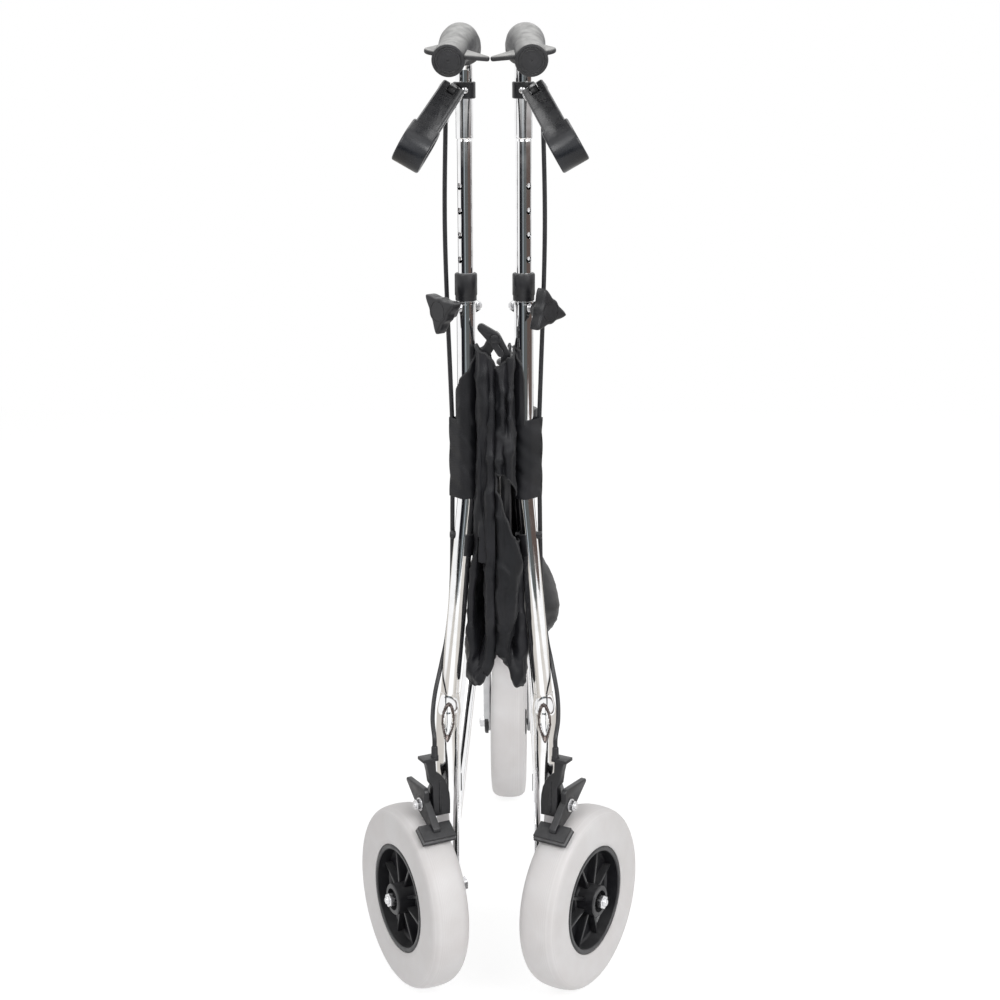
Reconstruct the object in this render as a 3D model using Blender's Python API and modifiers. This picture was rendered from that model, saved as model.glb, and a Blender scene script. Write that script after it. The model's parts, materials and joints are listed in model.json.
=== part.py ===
"""Three-wheel rollator, folded: two side frames swing about a head tube that carries the front castor."""

import bpy
import bmesh
from math import asin, atan2, cos, pi, radians, sin
from mathutils import Matrix, Vector

# Running clearance between pieces that touch or turn in each other, in metres like every size here
gap = 0.0003

# Wheels and track
wheel_radius = 0.095
tyre_width = 0.0425
tyre_steps = 28
wheelbase = 0.501
rear_half_track = 0.085
toe_angle = radians(29.0)
leg_offset = 0.040
axle_r = 0.0040
bore_r = axle_r + gap

# Side frames
tube_sides = 16
frame_tube_r = 0.0095
leg_tube_r = 0.0127
tube_wall = 0.0012
upright_x = 0.028
upright_y = 0.039
bend_height = 0.515
leg_top = 0.305
leg_swage = 0.262

# Height adjustment: everything above the clamp bolt is placed from it
bolt_height = 0.698
upright_lip = 0.0115
upright_top = bolt_height + upright_lip
handle_r = 0.0078
handle_top_r = 0.0087
handle_tail = 0.063
handle_step_rise = 0.1626
bend_rise = 0.2222
hole_pitch = 0.0234
hole_count = 6

# Fold hinges and castor stem
hinge_x = 0.022
hinge_y = 0.449
stem_y = 0.481
head_tube_r = 0.0127

# Tyre section: half widths at the tread's edge and at the shoulder below it
tread_half = 0.0070
shoulder_half = tyre_width / 2 - 0.00475
shoulder_r = wheel_radius - 0.0018

# The object's own frame has its origin under the middle of its box
facet = cos(pi / tyre_steps)
axle_height = wheel_radius * facet
rear_reach = shoulder_r * facet * cos(toe_angle) + shoulder_half * sin(toe_angle)
rear_axle_y = rear_reach - (wheelbase + axle_height + rear_reach) / 2


def at(x, y, z):
    """A point given from the middle of the rear axle line, on the floor."""
    return Vector((x, y + rear_axle_y, z))


def wheel_axis(side):
    """Unit vector along a rear axle, pointing away from the frame."""
    return Vector((side * cos(toe_angle), -sin(toe_angle), 0.0))


def rolling_axis(side):
    """Unit vector in a rear wheel's plane, level and to the rear."""
    return Vector((-side * sin(toe_angle), -cos(toe_angle), 0.0))


def wheel_center(side):
    return at(side * rear_half_track, 0.0, axle_height)


def basis(origin, z_axis, x_hint):
    """World matrix with its Z along z_axis and its X as near x_hint as it goes."""
    z_dir = Vector(z_axis).normalized()
    x_dir = (Vector(x_hint) - z_dir * Vector(x_hint).dot(z_dir)).normalized()
    y_dir = z_dir.cross(x_dir)
    turn = Matrix((x_dir, y_dir, z_dir)).transposed().to_4x4()
    return Matrix.Translation(origin) @ turn


up = Vector((0, 0, 1))
right = Vector((1, 0, 0))
rearward = Vector((0, -1, 0))

for old in list(bpy.data.objects):
    bpy.data.objects.remove(old, do_unlink=True)

parts = bpy.data.collections.new("rollator")
cutters = bpy.data.collections.new("cutters")
bpy.context.scene.collection.children.link(parts)
bpy.context.scene.collection.children.link(cutters)


def paint(name, color, roughness, metallic=0.0):
    """Material with the piece's own colour and shine."""
    material = bpy.data.materials.new(name)
    material.use_nodes = True
    shader = material.node_tree.nodes["Principled BSDF"]
    shader.inputs["Base Color"].default_value = (*color, 1.0)
    shader.inputs["Roughness"].default_value = roughness
    shader.inputs["Metallic"].default_value = metallic
    return material


chrome = paint("chrome", (0.80, 0.80, 0.82), 0.08, 1.0)
zinc = paint("zinc", (0.70, 0.71, 0.73), 0.30, 1.0)
black_plastic = paint("black_plastic", (0.025, 0.025, 0.028), 0.45)
black_rubber = paint("black_rubber", (0.02, 0.02, 0.022), 0.75)
pale_rubber = paint("pale_rubber", (0.72, 0.70, 0.68), 0.60)
black_cloth = paint("black_cloth", (0.012, 0.012, 0.018), 0.90)
silver_paint = paint("silver_paint", (0.62, 0.63, 0.65), 0.35, 0.6)


def empty(name, origin):
    """Pivot that a moving group hangs on."""
    pivot = bpy.data.objects.new(name, None)
    pivot.location = origin
    parts.objects.link(pivot)
    return pivot


def finish(obj, name, material, parent=None, sharp=35.0):
    """Name a piece, give it its material, smooth its round faces and hang it on its pivot."""
    obj.name = name
    obj.data.name = name
    obj.data.materials.clear()
    obj.data.materials.append(material)
    obj.data.shade_smooth()
    obj.data.set_sharp_from_angle(angle=radians(sharp))
    if parent:
        obj.parent = parent
        obj.matrix_parent_inverse = Matrix.Translation(-parent.location)
    return obj


def link_mesh(mesh, matrix=Matrix.Identity(4)):
    """Put a mesh into the scene at a world matrix."""
    obj = bpy.data.objects.new(mesh.name, mesh)
    obj.matrix_world = matrix
    parts.objects.link(obj)
    return obj


def hide(obj):
    """Make an object a cutter, which is left out of the model."""
    for owner in list(obj.users_collection):
        owner.objects.unlink(obj)
    cutters.objects.link(obj)
    obj.hide_render = True
    obj.display_type = "WIRE"
    return obj


def boolean(obj, other, operation):
    """Cut a piece with a cutter, or join a shape to it."""
    step = obj.modifiers.new(operation.lower(), "BOOLEAN")
    step.operation = operation
    step.solver = "EXACT"
    step.object = hide(other)
    return obj


def cut(obj, *others):
    for other in others:
        boolean(obj, other, "DIFFERENCE")
    return obj


def fuse(obj, *others):
    for other in others:
        boolean(obj, other, "UNION")
    return obj


def turned(profile, matrix, steps=16, ring=False):
    """Turn a profile of (radius, height) about local Z; a ring's profile closes on itself."""
    mesh = bpy.data.meshes.new("turned")
    count = len(profile)
    edges = [(i, i + 1) for i in range(count - 1)]
    if ring:
        edges.append((count - 1, 0))
    mesh.from_pydata([(radius, 0.0, height) for radius, height in profile], edges, [])
    obj = link_mesh(mesh, matrix @ Matrix.Rotation(pi / steps, 4, "Z"))
    screw = obj.modifiers.new("turn", "SCREW")
    screw.steps = steps
    screw.render_steps = steps
    screw.use_merge_vertices = True
    screw.merge_threshold = 0.00001
    return obj


def rod(radius, low, high, matrix, steps=12, chamfer=0.0):
    """Round bar along local Z, with its edges broken where a chamfer is given."""
    if chamfer:
        profile = [(0, high), (radius - chamfer, high), (radius, high - chamfer),
                   (radius, low + chamfer), (radius - chamfer, low), (0, low)]
    else:
        profile = [(0, high), (radius, high), (radius, low), (0, low)]
    return turned(profile, matrix, steps)


def sleeve(outer, inner, low, high, matrix, steps=16):
    """Round tube along local Z with square ends."""
    return turned([(outer, high), (outer, low), (inner, low), (inner, high)], matrix, steps, ring=True)


def block(size, matrix, bevel=0.0):
    """Box about its matrix's origin, with its edges rounded where a bevel is given."""
    mesh = bpy.data.meshes.new("block")
    shape = bmesh.new()
    bmesh.ops.create_cube(shape, size=1.0)
    bmesh.ops.scale(shape, vec=Vector(size), verts=shape.verts)
    shape.to_mesh(mesh)
    shape.free()
    obj = link_mesh(mesh, matrix)
    if bevel:
        step = obj.modifiers.new("bevel", "BEVEL")
        step.width = bevel
        step.segments = 1
    return obj


def hull_outline(circles, arc_points=6):
    """Outline drawn tight round circles (x, y, r), which are listed anticlockwise."""
    outline = []
    count = len(circles)
    for i in range(count):
        before, here, after = circles[i - 1], circles[i], circles[(i + 1) % count]
        start = leave_angle(before, here)
        end = leave_angle(here, after)
        while end < start:
            end += 2 * pi
        for k in range(arc_points):
            angle = start + (end - start) * k / (arc_points - 1)
            outline.append((here[0] + here[2] * cos(angle), here[1] + here[2] * sin(angle)))
    return outline


def leave_angle(first, second):
    """Direction of the outer tangent's touching point, the same on both circles."""
    run = Vector((second[0] - first[0], second[1] - first[1]))
    heading = atan2(run.y, run.x)
    return heading - pi / 2 + asin((first[2] - second[2]) / run.length)


def plate(outlines, thickness, matrix, chamfer=0.0):
    """Flat piece from closed outlines; an outline inside another is an opening."""
    curve = bpy.data.curves.new("plate", "CURVE")
    curve.dimensions = "2D"
    curve.fill_mode = "BOTH"
    curve.extrude = thickness / 2 - chamfer
    curve.bevel_depth = chamfer
    curve.bevel_resolution = 0
    curve.offset = -chamfer
    for outline in outlines:
        spline = curve.splines.new("POLY")
        spline.points.add(len(outline) - 1)
        for point, (x, y) in zip(spline.points, outline):
            point.co = (x, y, 0.0, 1.0)
        spline.use_cyclic_u = True
    obj = bpy.data.objects.new("plate", curve)
    obj.matrix_world = matrix
    parts.objects.link(obj)
    return as_mesh(obj)


def level_plate(outlines, low, high, chamfer=0.0):
    """Plate lying level between two heights, its outline given from the rear axle line."""
    place = Matrix.Translation((0, rear_axle_y, (low + high) / 2))
    return plate(outlines, high - low, place, chamfer)


def circle(x, y, radius, count=12):
    """Round outline."""
    return [(x + radius * cos(2 * pi * i / count), y + radius * sin(2 * pi * i / count)) for i in range(count)]


def bar(points, radius, sides=16, factors=None, wall=0.0):
    """Round bar or hollow tube along world points, whose radius can change from point to point."""
    curve = bpy.data.curves.new("bar", "CURVE")
    curve.dimensions = "3D"
    curve.twist_mode = "MINIMUM"
    curve.bevel_depth = radius
    curve.bevel_resolution = (sides - 4) // 2
    curve.use_fill_caps = not wall
    spline = curve.splines.new("POLY")
    spline.points.add(len(points) - 1)
    origin = Vector(points[0])
    for i, point in enumerate(points):
        spline.points[i].co = (*(Vector(point) - origin), 1.0)
        spline.points[i].radius = factors[i] if factors else 1.0
    obj = bpy.data.objects.new("bar", curve)
    obj.matrix_world = Matrix.Translation(origin)
    parts.objects.link(obj)
    obj = as_mesh(obj)
    if wall:
        shell = obj.modifiers.new("wall", "SOLIDIFY")
        shell.thickness = wall
        shell.offset = -1.0
        shell.use_even_offset = True
    return obj


def as_mesh(obj):
    """Turn a curve object into a mesh object with its caps welded on."""
    bpy.context.view_layer.update()
    depsgraph = bpy.context.evaluated_depsgraph_get()
    mesh = bpy.data.meshes.new_from_object(obj.evaluated_get(depsgraph))
    shape = bmesh.new()
    shape.from_mesh(mesh)
    bmesh.ops.remove_doubles(shape, verts=shape.verts, dist=0.00002)
    bmesh.ops.recalc_face_normals(shape, faces=shape.faces)
    shape.to_mesh(mesh)
    shape.free()
    new = link_mesh(mesh, obj.matrix_world.copy())
    bpy.data.objects.remove(obj, do_unlink=True)
    return new


def move_origin(obj, origin):
    """Put a piece's origin on its joint without moving its shape."""
    shift = obj.matrix_world.inverted() @ Vector(origin)
    obj.data.transform(Matrix.Translation(-shift))
    obj.matrix_world = obj.matrix_world @ Matrix.Translation(shift)
    return obj


def smooth_path(points, per_span=4):
    """Points along a smooth curve through the given ones."""
    padded = [points[0] * 2 - points[1]] + points + [points[-1] * 2 - points[-2]]
    path = []
    for i in range(1, len(padded) - 2):
        a, b, c, d = padded[i - 1], padded[i], padded[i + 1], padded[i + 2]
        for k in range(per_span):
            t = k / per_span
            path.append(0.5 * ((2 * b) + (c - a) * t + (2 * a - 5 * b + 4 * c - d) * t * t
                               + (3 * b - a - 3 * c + d) * t ** 3))
    path.append(points[-1])
    return path


# Side frame: the foot of the leg stands on the wheel's axle, and its line leans in to the upright
foot_x = rear_half_track - leg_offset * cos(toe_angle)
foot_y = leg_offset * sin(toe_angle)
swage_x, swage_y = 0.0497, 0.0278
shoulder_x, shoulder_y = 0.0475, 0.0300
leg_bottom = axle_height - leg_tube_r + gap
leg_mouth_r = 0.0113
swage_overlap = 0.006
knob_turn = radians(45.0)
stay_r = 0.0085
lower_stay_low = 0.120
lower_stay_high = 0.400
upper_stay_drop = 0.076
upper_stay_high = 0.538


def upright_center(side, height):
    """Middle of a side frame's upright or leg at a height."""
    stations = [(axle_height, foot_x, foot_y), (leg_swage, swage_x, swage_y), (leg_top, shoulder_x, shoulder_y),
                (bend_height, upright_x, upright_y), (upright_top, upright_x, upright_y)]
    for (z0, x0, y0), (z1, x1, y1) in zip(stations, stations[1:]):
        if height <= z1:
            break
    t = (height - z0) / (z1 - z0)
    return at(side * (x0 + (x1 - x0) * t), y0 + (y1 - y0) * t, height)


def upright_bore(side, low, high, radius):
    """Cutter along the upright or leg, for what is clamped round it."""
    reach = 0.010
    line = [upright_center(side, low - reach), upright_center(side, high + reach)]
    return bar(line, radius + gap, tube_sides)


def knob_axis(side):
    """Level direction of the clamp screw, to the rear and outward."""
    return Vector((side * sin(knob_turn), -cos(knob_turn), 0.0))


def clamp_place(side):
    return basis(upright_center(side, bolt_height), knob_axis(side), up)


def make_upright(side, tag, pivot):
    """Thin tube of the side frame, with the clamp screw's nut welded to its far side."""
    nut_r = 0.0062
    nut_depth = 0.0095
    heights = [upright_top, bend_height, leg_top, leg_swage + swage_overlap]
    tube = bar([upright_center(side, z) for z in heights], frame_tube_r, tube_sides, wall=tube_wall)
    inner_face = frame_tube_r - 0.0005
    nut = sleeve(nut_r, bore_r, -inner_face - nut_depth, -inner_face, clamp_place(side), 6)
    hole = rod(bore_r, 0.0, 2 * frame_tube_r, clamp_place(side), 10)
    finish(cut(fuse(tube, nut), hole), "upright_" + tag, chrome, pivot)


def make_leg(side, tag, pivot):
    """Wide lower tube that the upright is swaged into; the axle crosses its foot."""
    heights = [leg_top, leg_swage, leg_bottom]
    factors = [leg_mouth_r / leg_tube_r, 1.0, 1.0]
    tube = bar([upright_center(side, z) for z in heights], leg_tube_r, tube_sides, factors, tube_wall)
    along = basis(wheel_center(side), wheel_axis(side), up)
    hole = rod(bore_r, -leg_offset - 2 * leg_tube_r, -leg_offset + 2 * leg_tube_r, along, 12)
    finish(cut(tube, hole), "rear_leg_" + tag, chrome, pivot)


def make_stay(side, tag, pivot, name, low_height, hinge_height, side_tube_r):
    """Tube between a side frame's tube and the hinge tube, coped to fit round both."""
    cope_reach = 0.030
    start = upright_center(side, low_height)
    end = at(side * hinge_x, hinge_y, hinge_height)
    tube = bar([start, end], stay_r, 14, wall=tube_wall)
    side_cope = [upright_center(side, low_height - cope_reach), upright_center(side, low_height + cope_reach)]
    hinge_cope = [end - up * cope_reach, end + up * cope_reach]
    cut(tube, bar(side_cope, side_tube_r + gap, tube_sides), bar(hinge_cope, frame_tube_r + gap, tube_sides))
    finish(tube, name + tag, chrome, pivot)


def make_hinge_tube(side, tag, pivot):
    """Tube on the fold axis that turns in the two head brackets."""
    place = Matrix.Translation(at(side * hinge_x, hinge_y, 0))
    tube = sleeve(frame_tube_r, frame_tube_r - tube_wall, hinge_bottom, hinge_top, place, tube_sides)
    finish(tube, "hinge_tube_" + tag, chrome, pivot)


# Height adjustment: collar, knob and handle tube
collar_r = 0.0110
collar_edge = 0.0015
collar_step = 0.0006
collar_stand = 0.0221
collar_skirt = 0.0045


def make_collar(side, tag, pivot):
    """Plastic guide ring on the upright's mouth, round the sliding handle tube."""
    place = Matrix.Translation(at(side * upright_x, upright_y, 0))
    seat = upright_top + gap
    top = upright_top + collar_stand
    bottom = upright_top - collar_skirt
    skirt_r = collar_r - collar_step
    profile = [(collar_r - collar_edge, top), (collar_r, top - collar_edge), (collar_r, seat + 0.001),
               (skirt_r, seat - 0.001), (skirt_r, bottom), (frame_tube_r + gap, bottom),
               (frame_tube_r + gap, seat), (handle_r + gap, seat), (handle_r + gap, top)]
    finish(turned(profile, place, tube_sides, ring=True), "collar_" + tag, black_plastic, pivot)


knob_reach = 0.031
knob_mean_r = 0.0195
knob_lobe = 0.0048
lobe_start = {1: radians(15), -1: radians(52)}
knob_thick = 0.0120
knob_boss_r = 0.0085
screw_reach = 0.020


def make_knob(side, tag, pivot):
    """Three-lobed clamp knob with its screw."""
    along = clamp_place(side)
    start = lobe_start[side]
    outline = []
    for i in range(24):
        angle = 2 * pi * i / 24
        radius = knob_mean_r + knob_lobe * cos(3 * (angle - start))
        outline.append((radius * cos(angle), radius * sin(angle)))
    face = plate([outline], knob_thick, along @ Matrix.Translation((0, 0, knob_reach)), 0.0025)
    boss = rod(knob_boss_r, frame_tube_r + 0.0023, knob_reach, along, 16)
    screw = rod(axle_r, handle_r + 2 * gap, screw_reach, along, 12)
    fuse(face, boss, screw)
    finish(face, "knob_" + tag, black_plastic, pivot)


bend_start = bolt_height + bend_rise
bend_r = 0.030
grip_drop = radians(11.3)
grip_reach = 0.104
grip_out = 0.0095
bend_end = bend_r * (1 - cos(pi / 2 + grip_drop))
tube_seat = 0.0005


def handle_path(side, turn=None, back=None):
    """Point on the handle's centre line: on its bend by angle, or behind the upright by distance."""
    if turn is not None:
        back = bend_r * (1 - cos(turn))
        z = bend_start + bend_r * sin(turn)
    else:
        bend_top = bend_start + bend_r * sin(pi / 2 + grip_drop)
        z = bend_top - (back - bend_end) * sin(grip_drop) / cos(grip_drop)
    x = upright_x + grip_out * back / grip_reach
    return at(side * x, upright_y - back, z)


def handle_bend(side):
    """Points round the handle's bend."""
    turns = [radians(degrees) for degrees in (12, 34, 56, 78)]
    return [handle_path(side, turn=angle) for angle in turns] + [handle_path(side, back=bend_end)]


def make_handle_tube(side, tag, pivot):
    """Cane-shaped inner tube with the row of height holes."""
    step = bolt_height + handle_step_rise
    straight = [bolt_height - handle_tail, step - 0.0006, step + 0.0006, bend_start - 0.0152]
    points = [at(side * upright_x, upright_y, z) for z in straight]
    factors = [handle_r / handle_top_r, handle_r / handle_top_r, 1.0, 1.0]
    points += handle_bend(side) + [handle_path(side, back=grip_reach - 0.010)]
    factors += [1.0] * (len(points) - len(factors))
    tube = bar(points, handle_top_r, 12, factors, tube_wall)
    for i in range(hole_count):
        hole = at(side * upright_x, upright_y, bolt_height + i * hole_pitch)
        cut(tube, rod(0.0033, -0.02, 0.02, basis(hole, knob_axis(side), up), 6))
    finish(tube, "handle_tube_" + tag, chrome, pivot)


grip_r = 0.018
wing_thick = 0.0060
wing_lean = radians(8.0)
wing_back = 0.083


def make_grip(side, tag, pivot):
    """Rubber hand grip with its broad palm wing."""
    stations = [(dict(turn=radians(26)), 0.0112), (dict(turn=radians(33)), 0.0150),
                (dict(turn=radians(46)), 0.0172), (dict(turn=radians(64)), grip_r),
                (dict(turn=radians(84)), grip_r), (dict(back=grip_reach - 0.065), 0.0174),
                (dict(back=grip_reach - 0.045), 0.0158), (dict(back=grip_reach - 0.025), 0.0145),
                (dict(back=grip_reach - 0.007), 0.0140), (dict(back=grip_reach - 0.0015), 0.0130),
                (dict(back=grip_reach), 0.0110)]
    points = [handle_path(side, **where) for where, radius in stations]
    body = bar(points, grip_r, 12, [radius / grip_r for where, radius in stations])
    wing_x = Vector((side * cos(wing_lean), 0.0, sin(wing_lean)))
    wing_z = Vector((-side * sin(wing_lean), -sin(grip_drop), 1.0))
    place = basis(handle_path(side, back=wing_back) + up * wing_thick / 2, wing_z, wing_x)
    # The wing's corners, drawn for the right hand: inner tip, rear, outer edge and front
    corners = [(-0.0312, -0.003, 0.0030), (0.0, -0.012, 0.0090), (0.0125, -0.004, 0.0070), (0.004, 0.022, 0.0120)]
    if side < 0:
        corners = [(x, -y, r) for x, y, r in reversed(corners)]
    wing = plate([hull_outline(corners, 5)], wing_thick, place, 0.0018)
    core = [at(side * upright_x, upright_y, bend_start - 0.0152)] + handle_bend(side)
    core.append(handle_path(side, back=grip_reach - 0.0095))
    fuse(body, wing)
    cut(body, bar(core, handle_top_r + tube_seat, 12))
    finish(body, "grip_" + tag, black_rubber, pivot)


# Brake lever: a closed loop that swings on the housing's lug
lever_width = 0.0225
lever_roll = radians(-24.0)
lever_length = 0.0957
lever_root_r = 0.0070
lever_end_r = 0.0175
loop_start = 0.0400
loop_root_r = 0.0030
loop_end_r = 0.0095
lug_width = 0.0080
pin_r = 0.0025


def lever_pivot(side):
    return at(side * (upright_x + 0.0115), upright_y - 0.0225, bend_start - 0.0152)


def lever_frame(side):
    """Local X runs to the lever's rear end, Y up across the loop and Z along the pivot pin."""
    along = Vector((side * 0.0350, -0.0920, -0.0550)).normalized()
    flat = Vector((side, 0, 0)) - along * along.x * side
    outward = flat.normalized() * cos(lever_roll) + along.cross(flat).normalized() * sin(lever_roll) * -side
    return basis(lever_pivot(side), outward * -side, along)


clamp_r = 0.0135
clamp_low = bend_start - 0.0332
clamp_high = bend_start - 0.0072
stop_r = 0.0046
stop_height = 0.017


def make_housing(side, tag, pivot):
    """Clamp on the handle tube with the lug that the lever swings on and the cable stop."""
    upright = at(side * upright_x, upright_y, 0)
    place = Matrix.Translation(upright)
    clamp = sleeve(clamp_r, handle_top_r + tube_seat, clamp_low, clamp_high, place)
    frame = lever_frame(side)
    toward = frame.inverted() @ (upright + up * (bend_start - 0.0202))
    order = [(toward.x * 0.45, toward.y * 0.45, 0.0078), (0.0, 0.0, 0.0062)]
    lug = plate([hull_outline(order), circle(0, 0, pin_r + gap)], lug_width, frame)
    cable = cable_top(side)
    stop_top = cable.z + stop_height
    stop = rod(stop_r, cable.z, stop_top, Matrix.Translation((cable.x, cable.y, 0)), 12, 0.0008)
    reach = Vector((cable.x, cable.y, 0)) - upright
    arm_place = basis(upright + reach / 2 + up * (stop_top - 0.006), up, reach)
    fuse(clamp, lug, stop, block((0.012, 0.007, 0.010), arm_place))
    cut(clamp, rod(handle_top_r + tube_seat, clamp_low - 0.01, clamp_high + 0.01, place, 16))
    finish(clamp, "lever_housing_" + tag, black_plastic, pivot)


def make_lever(side, tag, pivot):
    """Loop lever, forked at its pivot, with the pivot pin."""
    frame = lever_frame(side)
    outer = hull_outline([(0.0, 0.0, lever_root_r), (lever_length, 0.0, lever_end_r)], 8)
    inner = hull_outline([(loop_start, 0.0, loop_root_r), (lever_length, 0.0, loop_end_r)], 7)
    loop = plate([outer, inner], lever_width, frame, 0.0015)
    fork = block((0.034, 0.030, lug_width + 2 * gap), frame @ Matrix.Translation((-0.003, 0, 0)))
    cut(loop, fork)
    fuse(loop, rod(pin_r, -0.009, 0.009, frame))
    move_origin(loop, lever_pivot(side))
    finish(loop, "brake_lever_" + tag, black_plastic, pivot)


# Brake cables, with the place where each bag sleeve holds them
cable_r = 0.00225
sleeve_low = 0.507
sleeve_high = 0.588
sleeve_cloth = 0.0015


def cable_top(side):
    return at(side * (upright_x + 0.0182), upright_y + 0.0080, bend_start - 0.0322)


def cable_join(side):
    return at(side * (upright_x + 0.0192), upright_y + 0.0080, sleeve_high)


def make_cables(side, tag, handle_pivot, frame_pivot):
    """Upper run from the lever housing to the sleeve, and the lower run to the brake."""
    top = cable_top(side)
    join = cable_join(side)
    middle = at(side * (upright_x + 0.0203), upright_y + 0.0085, (top.z + join.z) / 2 + 0.026)
    upper = bar(smooth_path([top - up * gap, middle, join + up * gap], 6), cable_r, 8)
    finish(upper, "cable_upper_" + tag, black_plastic, handle_pivot)
    stop = brake_point(side, cable_stop_a, cable_stop_n, cable_stop_z)
    route = [join, at(side * 0.0478, 0.0465, sleeve_low), at(side * 0.0535, 0.0440, 0.4200),
             at(side * 0.0620, 0.0340, 0.3500), at(side * 0.0670, 0.0080, 0.3120), stop + up * 0.040,
             stop + up * (ferrule_height + gap)]
    lower = bar(smooth_path(route, 3), cable_r, 8)
    finish(lower, "cable_lower_" + tag, black_plastic, frame_pivot)


def make_bag_sleeve(side, tag, pivot):
    """Cloth loop of the bag, round the upright and the cable."""
    tube = (side * (upright_x + gap), upright_y, frame_tube_r + gap + 0.0014 + sleeve_cloth)
    cable = (side * (upright_x + 0.0195), upright_y + 0.0078, cable_r + gap + 0.00075 + sleeve_cloth)
    order = [tube, cable] if side > 0 else [cable, tube]
    inner = [(x, y, r - sleeve_cloth) for x, y, r in order]
    band = level_plate([hull_outline(order), hull_outline(inner)], sleeve_low + gap, sleeve_high - gap)
    finish(band, "bag_sleeve_" + tag, black_cloth, pivot)


# Rear brake, placed from the top of the tyre; a is rearward in the wheel's plane, n outward along its axle
brake_pivot_a = 0.0237
brake_pivot_z = axle_height + wheel_radius + 0.0146
bracket_low = brake_pivot_z - 0.0080
bracket_high = brake_pivot_z + 0.0120
bracket_leg_r = leg_tube_r + 0.0038
bracket_end_r = 0.0078
arm_n = -0.0125
neck_size = (0.0090, 0.0110, 0.0420)
neck_shift = 0.0048
stop_plate_size = (0.0130, 0.0150, 0.0040)
stop_plate_n = -0.0090
cable_stop_a = 0.0330
cable_stop_n = -0.0060
cable_stop_z = brake_pivot_z + 0.0440
ferrule_r = 0.0034
ferrule_height = 0.0120
pivot_bolt_r = 0.0035
bolt_head_r = 0.0065
bolt_inner = 0.0140
bolt_outer = 0.0110
shoe_angle = radians(30.0)
shoe_clear = 0.0021
shoe_size = (0.0220, 0.0080, 0.0340)
rocker_width = 0.0140
rocker_shift = 0.0030


def brake_point(side, rearward_run, outward, height):
    """Point given in a rear wheel's own plane."""
    point = wheel_center(side) + rolling_axis(side) * rearward_run + wheel_axis(side) * outward
    return Vector((point.x, point.y, height))


def brake_frame(side):
    """Matrix at the brake pivot, with X to the rear, Y up and Z along the axle."""
    origin = brake_point(side, brake_pivot_a, 0.0, brake_pivot_z)
    x_dir = rolling_axis(side)
    return basis(origin, x_dir.cross(up), x_dir)


def make_brake_bracket(side, tag, pivot):
    """Body clamped on the leg: it reaches over the tyre, carries the pivot bolt and stops the cable."""
    leg = upright_center(side, (bracket_low + bracket_high) / 2)
    end = brake_point(side, brake_pivot_a, arm_n, 0)
    order = [(leg.x, leg.y - rear_axle_y, bracket_leg_r), (end.x, end.y - rear_axle_y, bracket_end_r)]
    arm = level_plate([hull_outline(order)], bracket_low, bracket_high, 0.0010)
    foot = brake_point(side, brake_pivot_a + neck_shift, arm_n, bracket_high - 0.0130 + neck_size[2] / 2)
    neck = block(neck_size, basis(foot, up, rolling_axis(side)), 0.0010)
    head = brake_point(side, cable_stop_a, stop_plate_n, cable_stop_z - stop_plate_size[2] / 2)
    cap = block(stop_plate_size, basis(head, up, rolling_axis(side)), 0.0008)
    stop = brake_point(side, cable_stop_a, cable_stop_n, 0)
    ferrule = rod(ferrule_r, cable_stop_z - 0.003, cable_stop_z + ferrule_height, Matrix.Translation(stop))
    # Local Z of the brake frame points outward on one side of the walker and inward on the other
    frame = brake_frame(side)
    outward = frame @ Matrix.Rotation(pi, 4, "X") if side > 0 else frame
    shaft = rod(pivot_bolt_r, -bolt_inner, bolt_outer, outward)
    bolt_head = rod(bolt_head_r, bolt_outer - 0.0007, bolt_outer + 0.0030, outward, 6)
    fuse(arm, neck, cap, ferrule, shaft, bolt_head)
    cut(arm, upright_bore(side, bracket_low, bracket_high, leg_tube_r))
    finish(arm, "brake_bracket_" + tag, black_plastic, pivot)


def make_brake_arm(side, tag, pivot):
    """Rocking arm with the pull wing and the shoe that presses on the tread."""
    frame = brake_frame(side)
    shoe_r = wheel_radius + shoe_clear + shoe_size[1] / 2
    shoe_x = shoe_r * sin(shoe_angle) - brake_pivot_a
    shoe_y = shoe_r * cos(shoe_angle) + axle_height - brake_pivot_z
    slab = frame @ Matrix.Translation((0, 0, -side * rocker_shift))
    hub = (0.0, 0.0, 0.0105)
    rocker = plate([hull_outline([hub, (0.0040, 0.0130, 0.0070), (-0.0310, 0.0150, 0.0035)], 5)],
                   rocker_width, slab, 0.0010)
    limb = plate([hull_outline([hub, (shoe_x, shoe_y + 0.004, 0.0045)])], rocker_width, slab)
    facing = Matrix.Translation((shoe_x, shoe_y, 0)) @ Matrix.Rotation(-shoe_angle, 4, "Z")
    fuse(rocker, limb, block(shoe_size, frame @ facing, 0.0015))
    cut(rocker, rod(pivot_bolt_r + gap, -0.03, 0.03, frame))
    move_origin(rocker, frame.translation)
    finish(rocker, "brake_arm_" + tag, black_plastic, pivot)


# Wheels: spans of the hub boss along the axle, outward and inward
hub_r = 0.0560
boss_r = 0.0160
rim_inner_r = hub_r - 0.0050
dish_r = hub_r - 0.0070
rim_half = tyre_width / 2 - 0.00245
rib_count = 8
rib_size = (0.0350, 0.0028, 0.0260)
bush_r = 0.0072
nut_recess_r = 0.0112
rear_boss_high, rear_boss_low = 0.0245, -0.0235
nut_recess = 0.0055
front_boss_half = 0.0218


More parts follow.
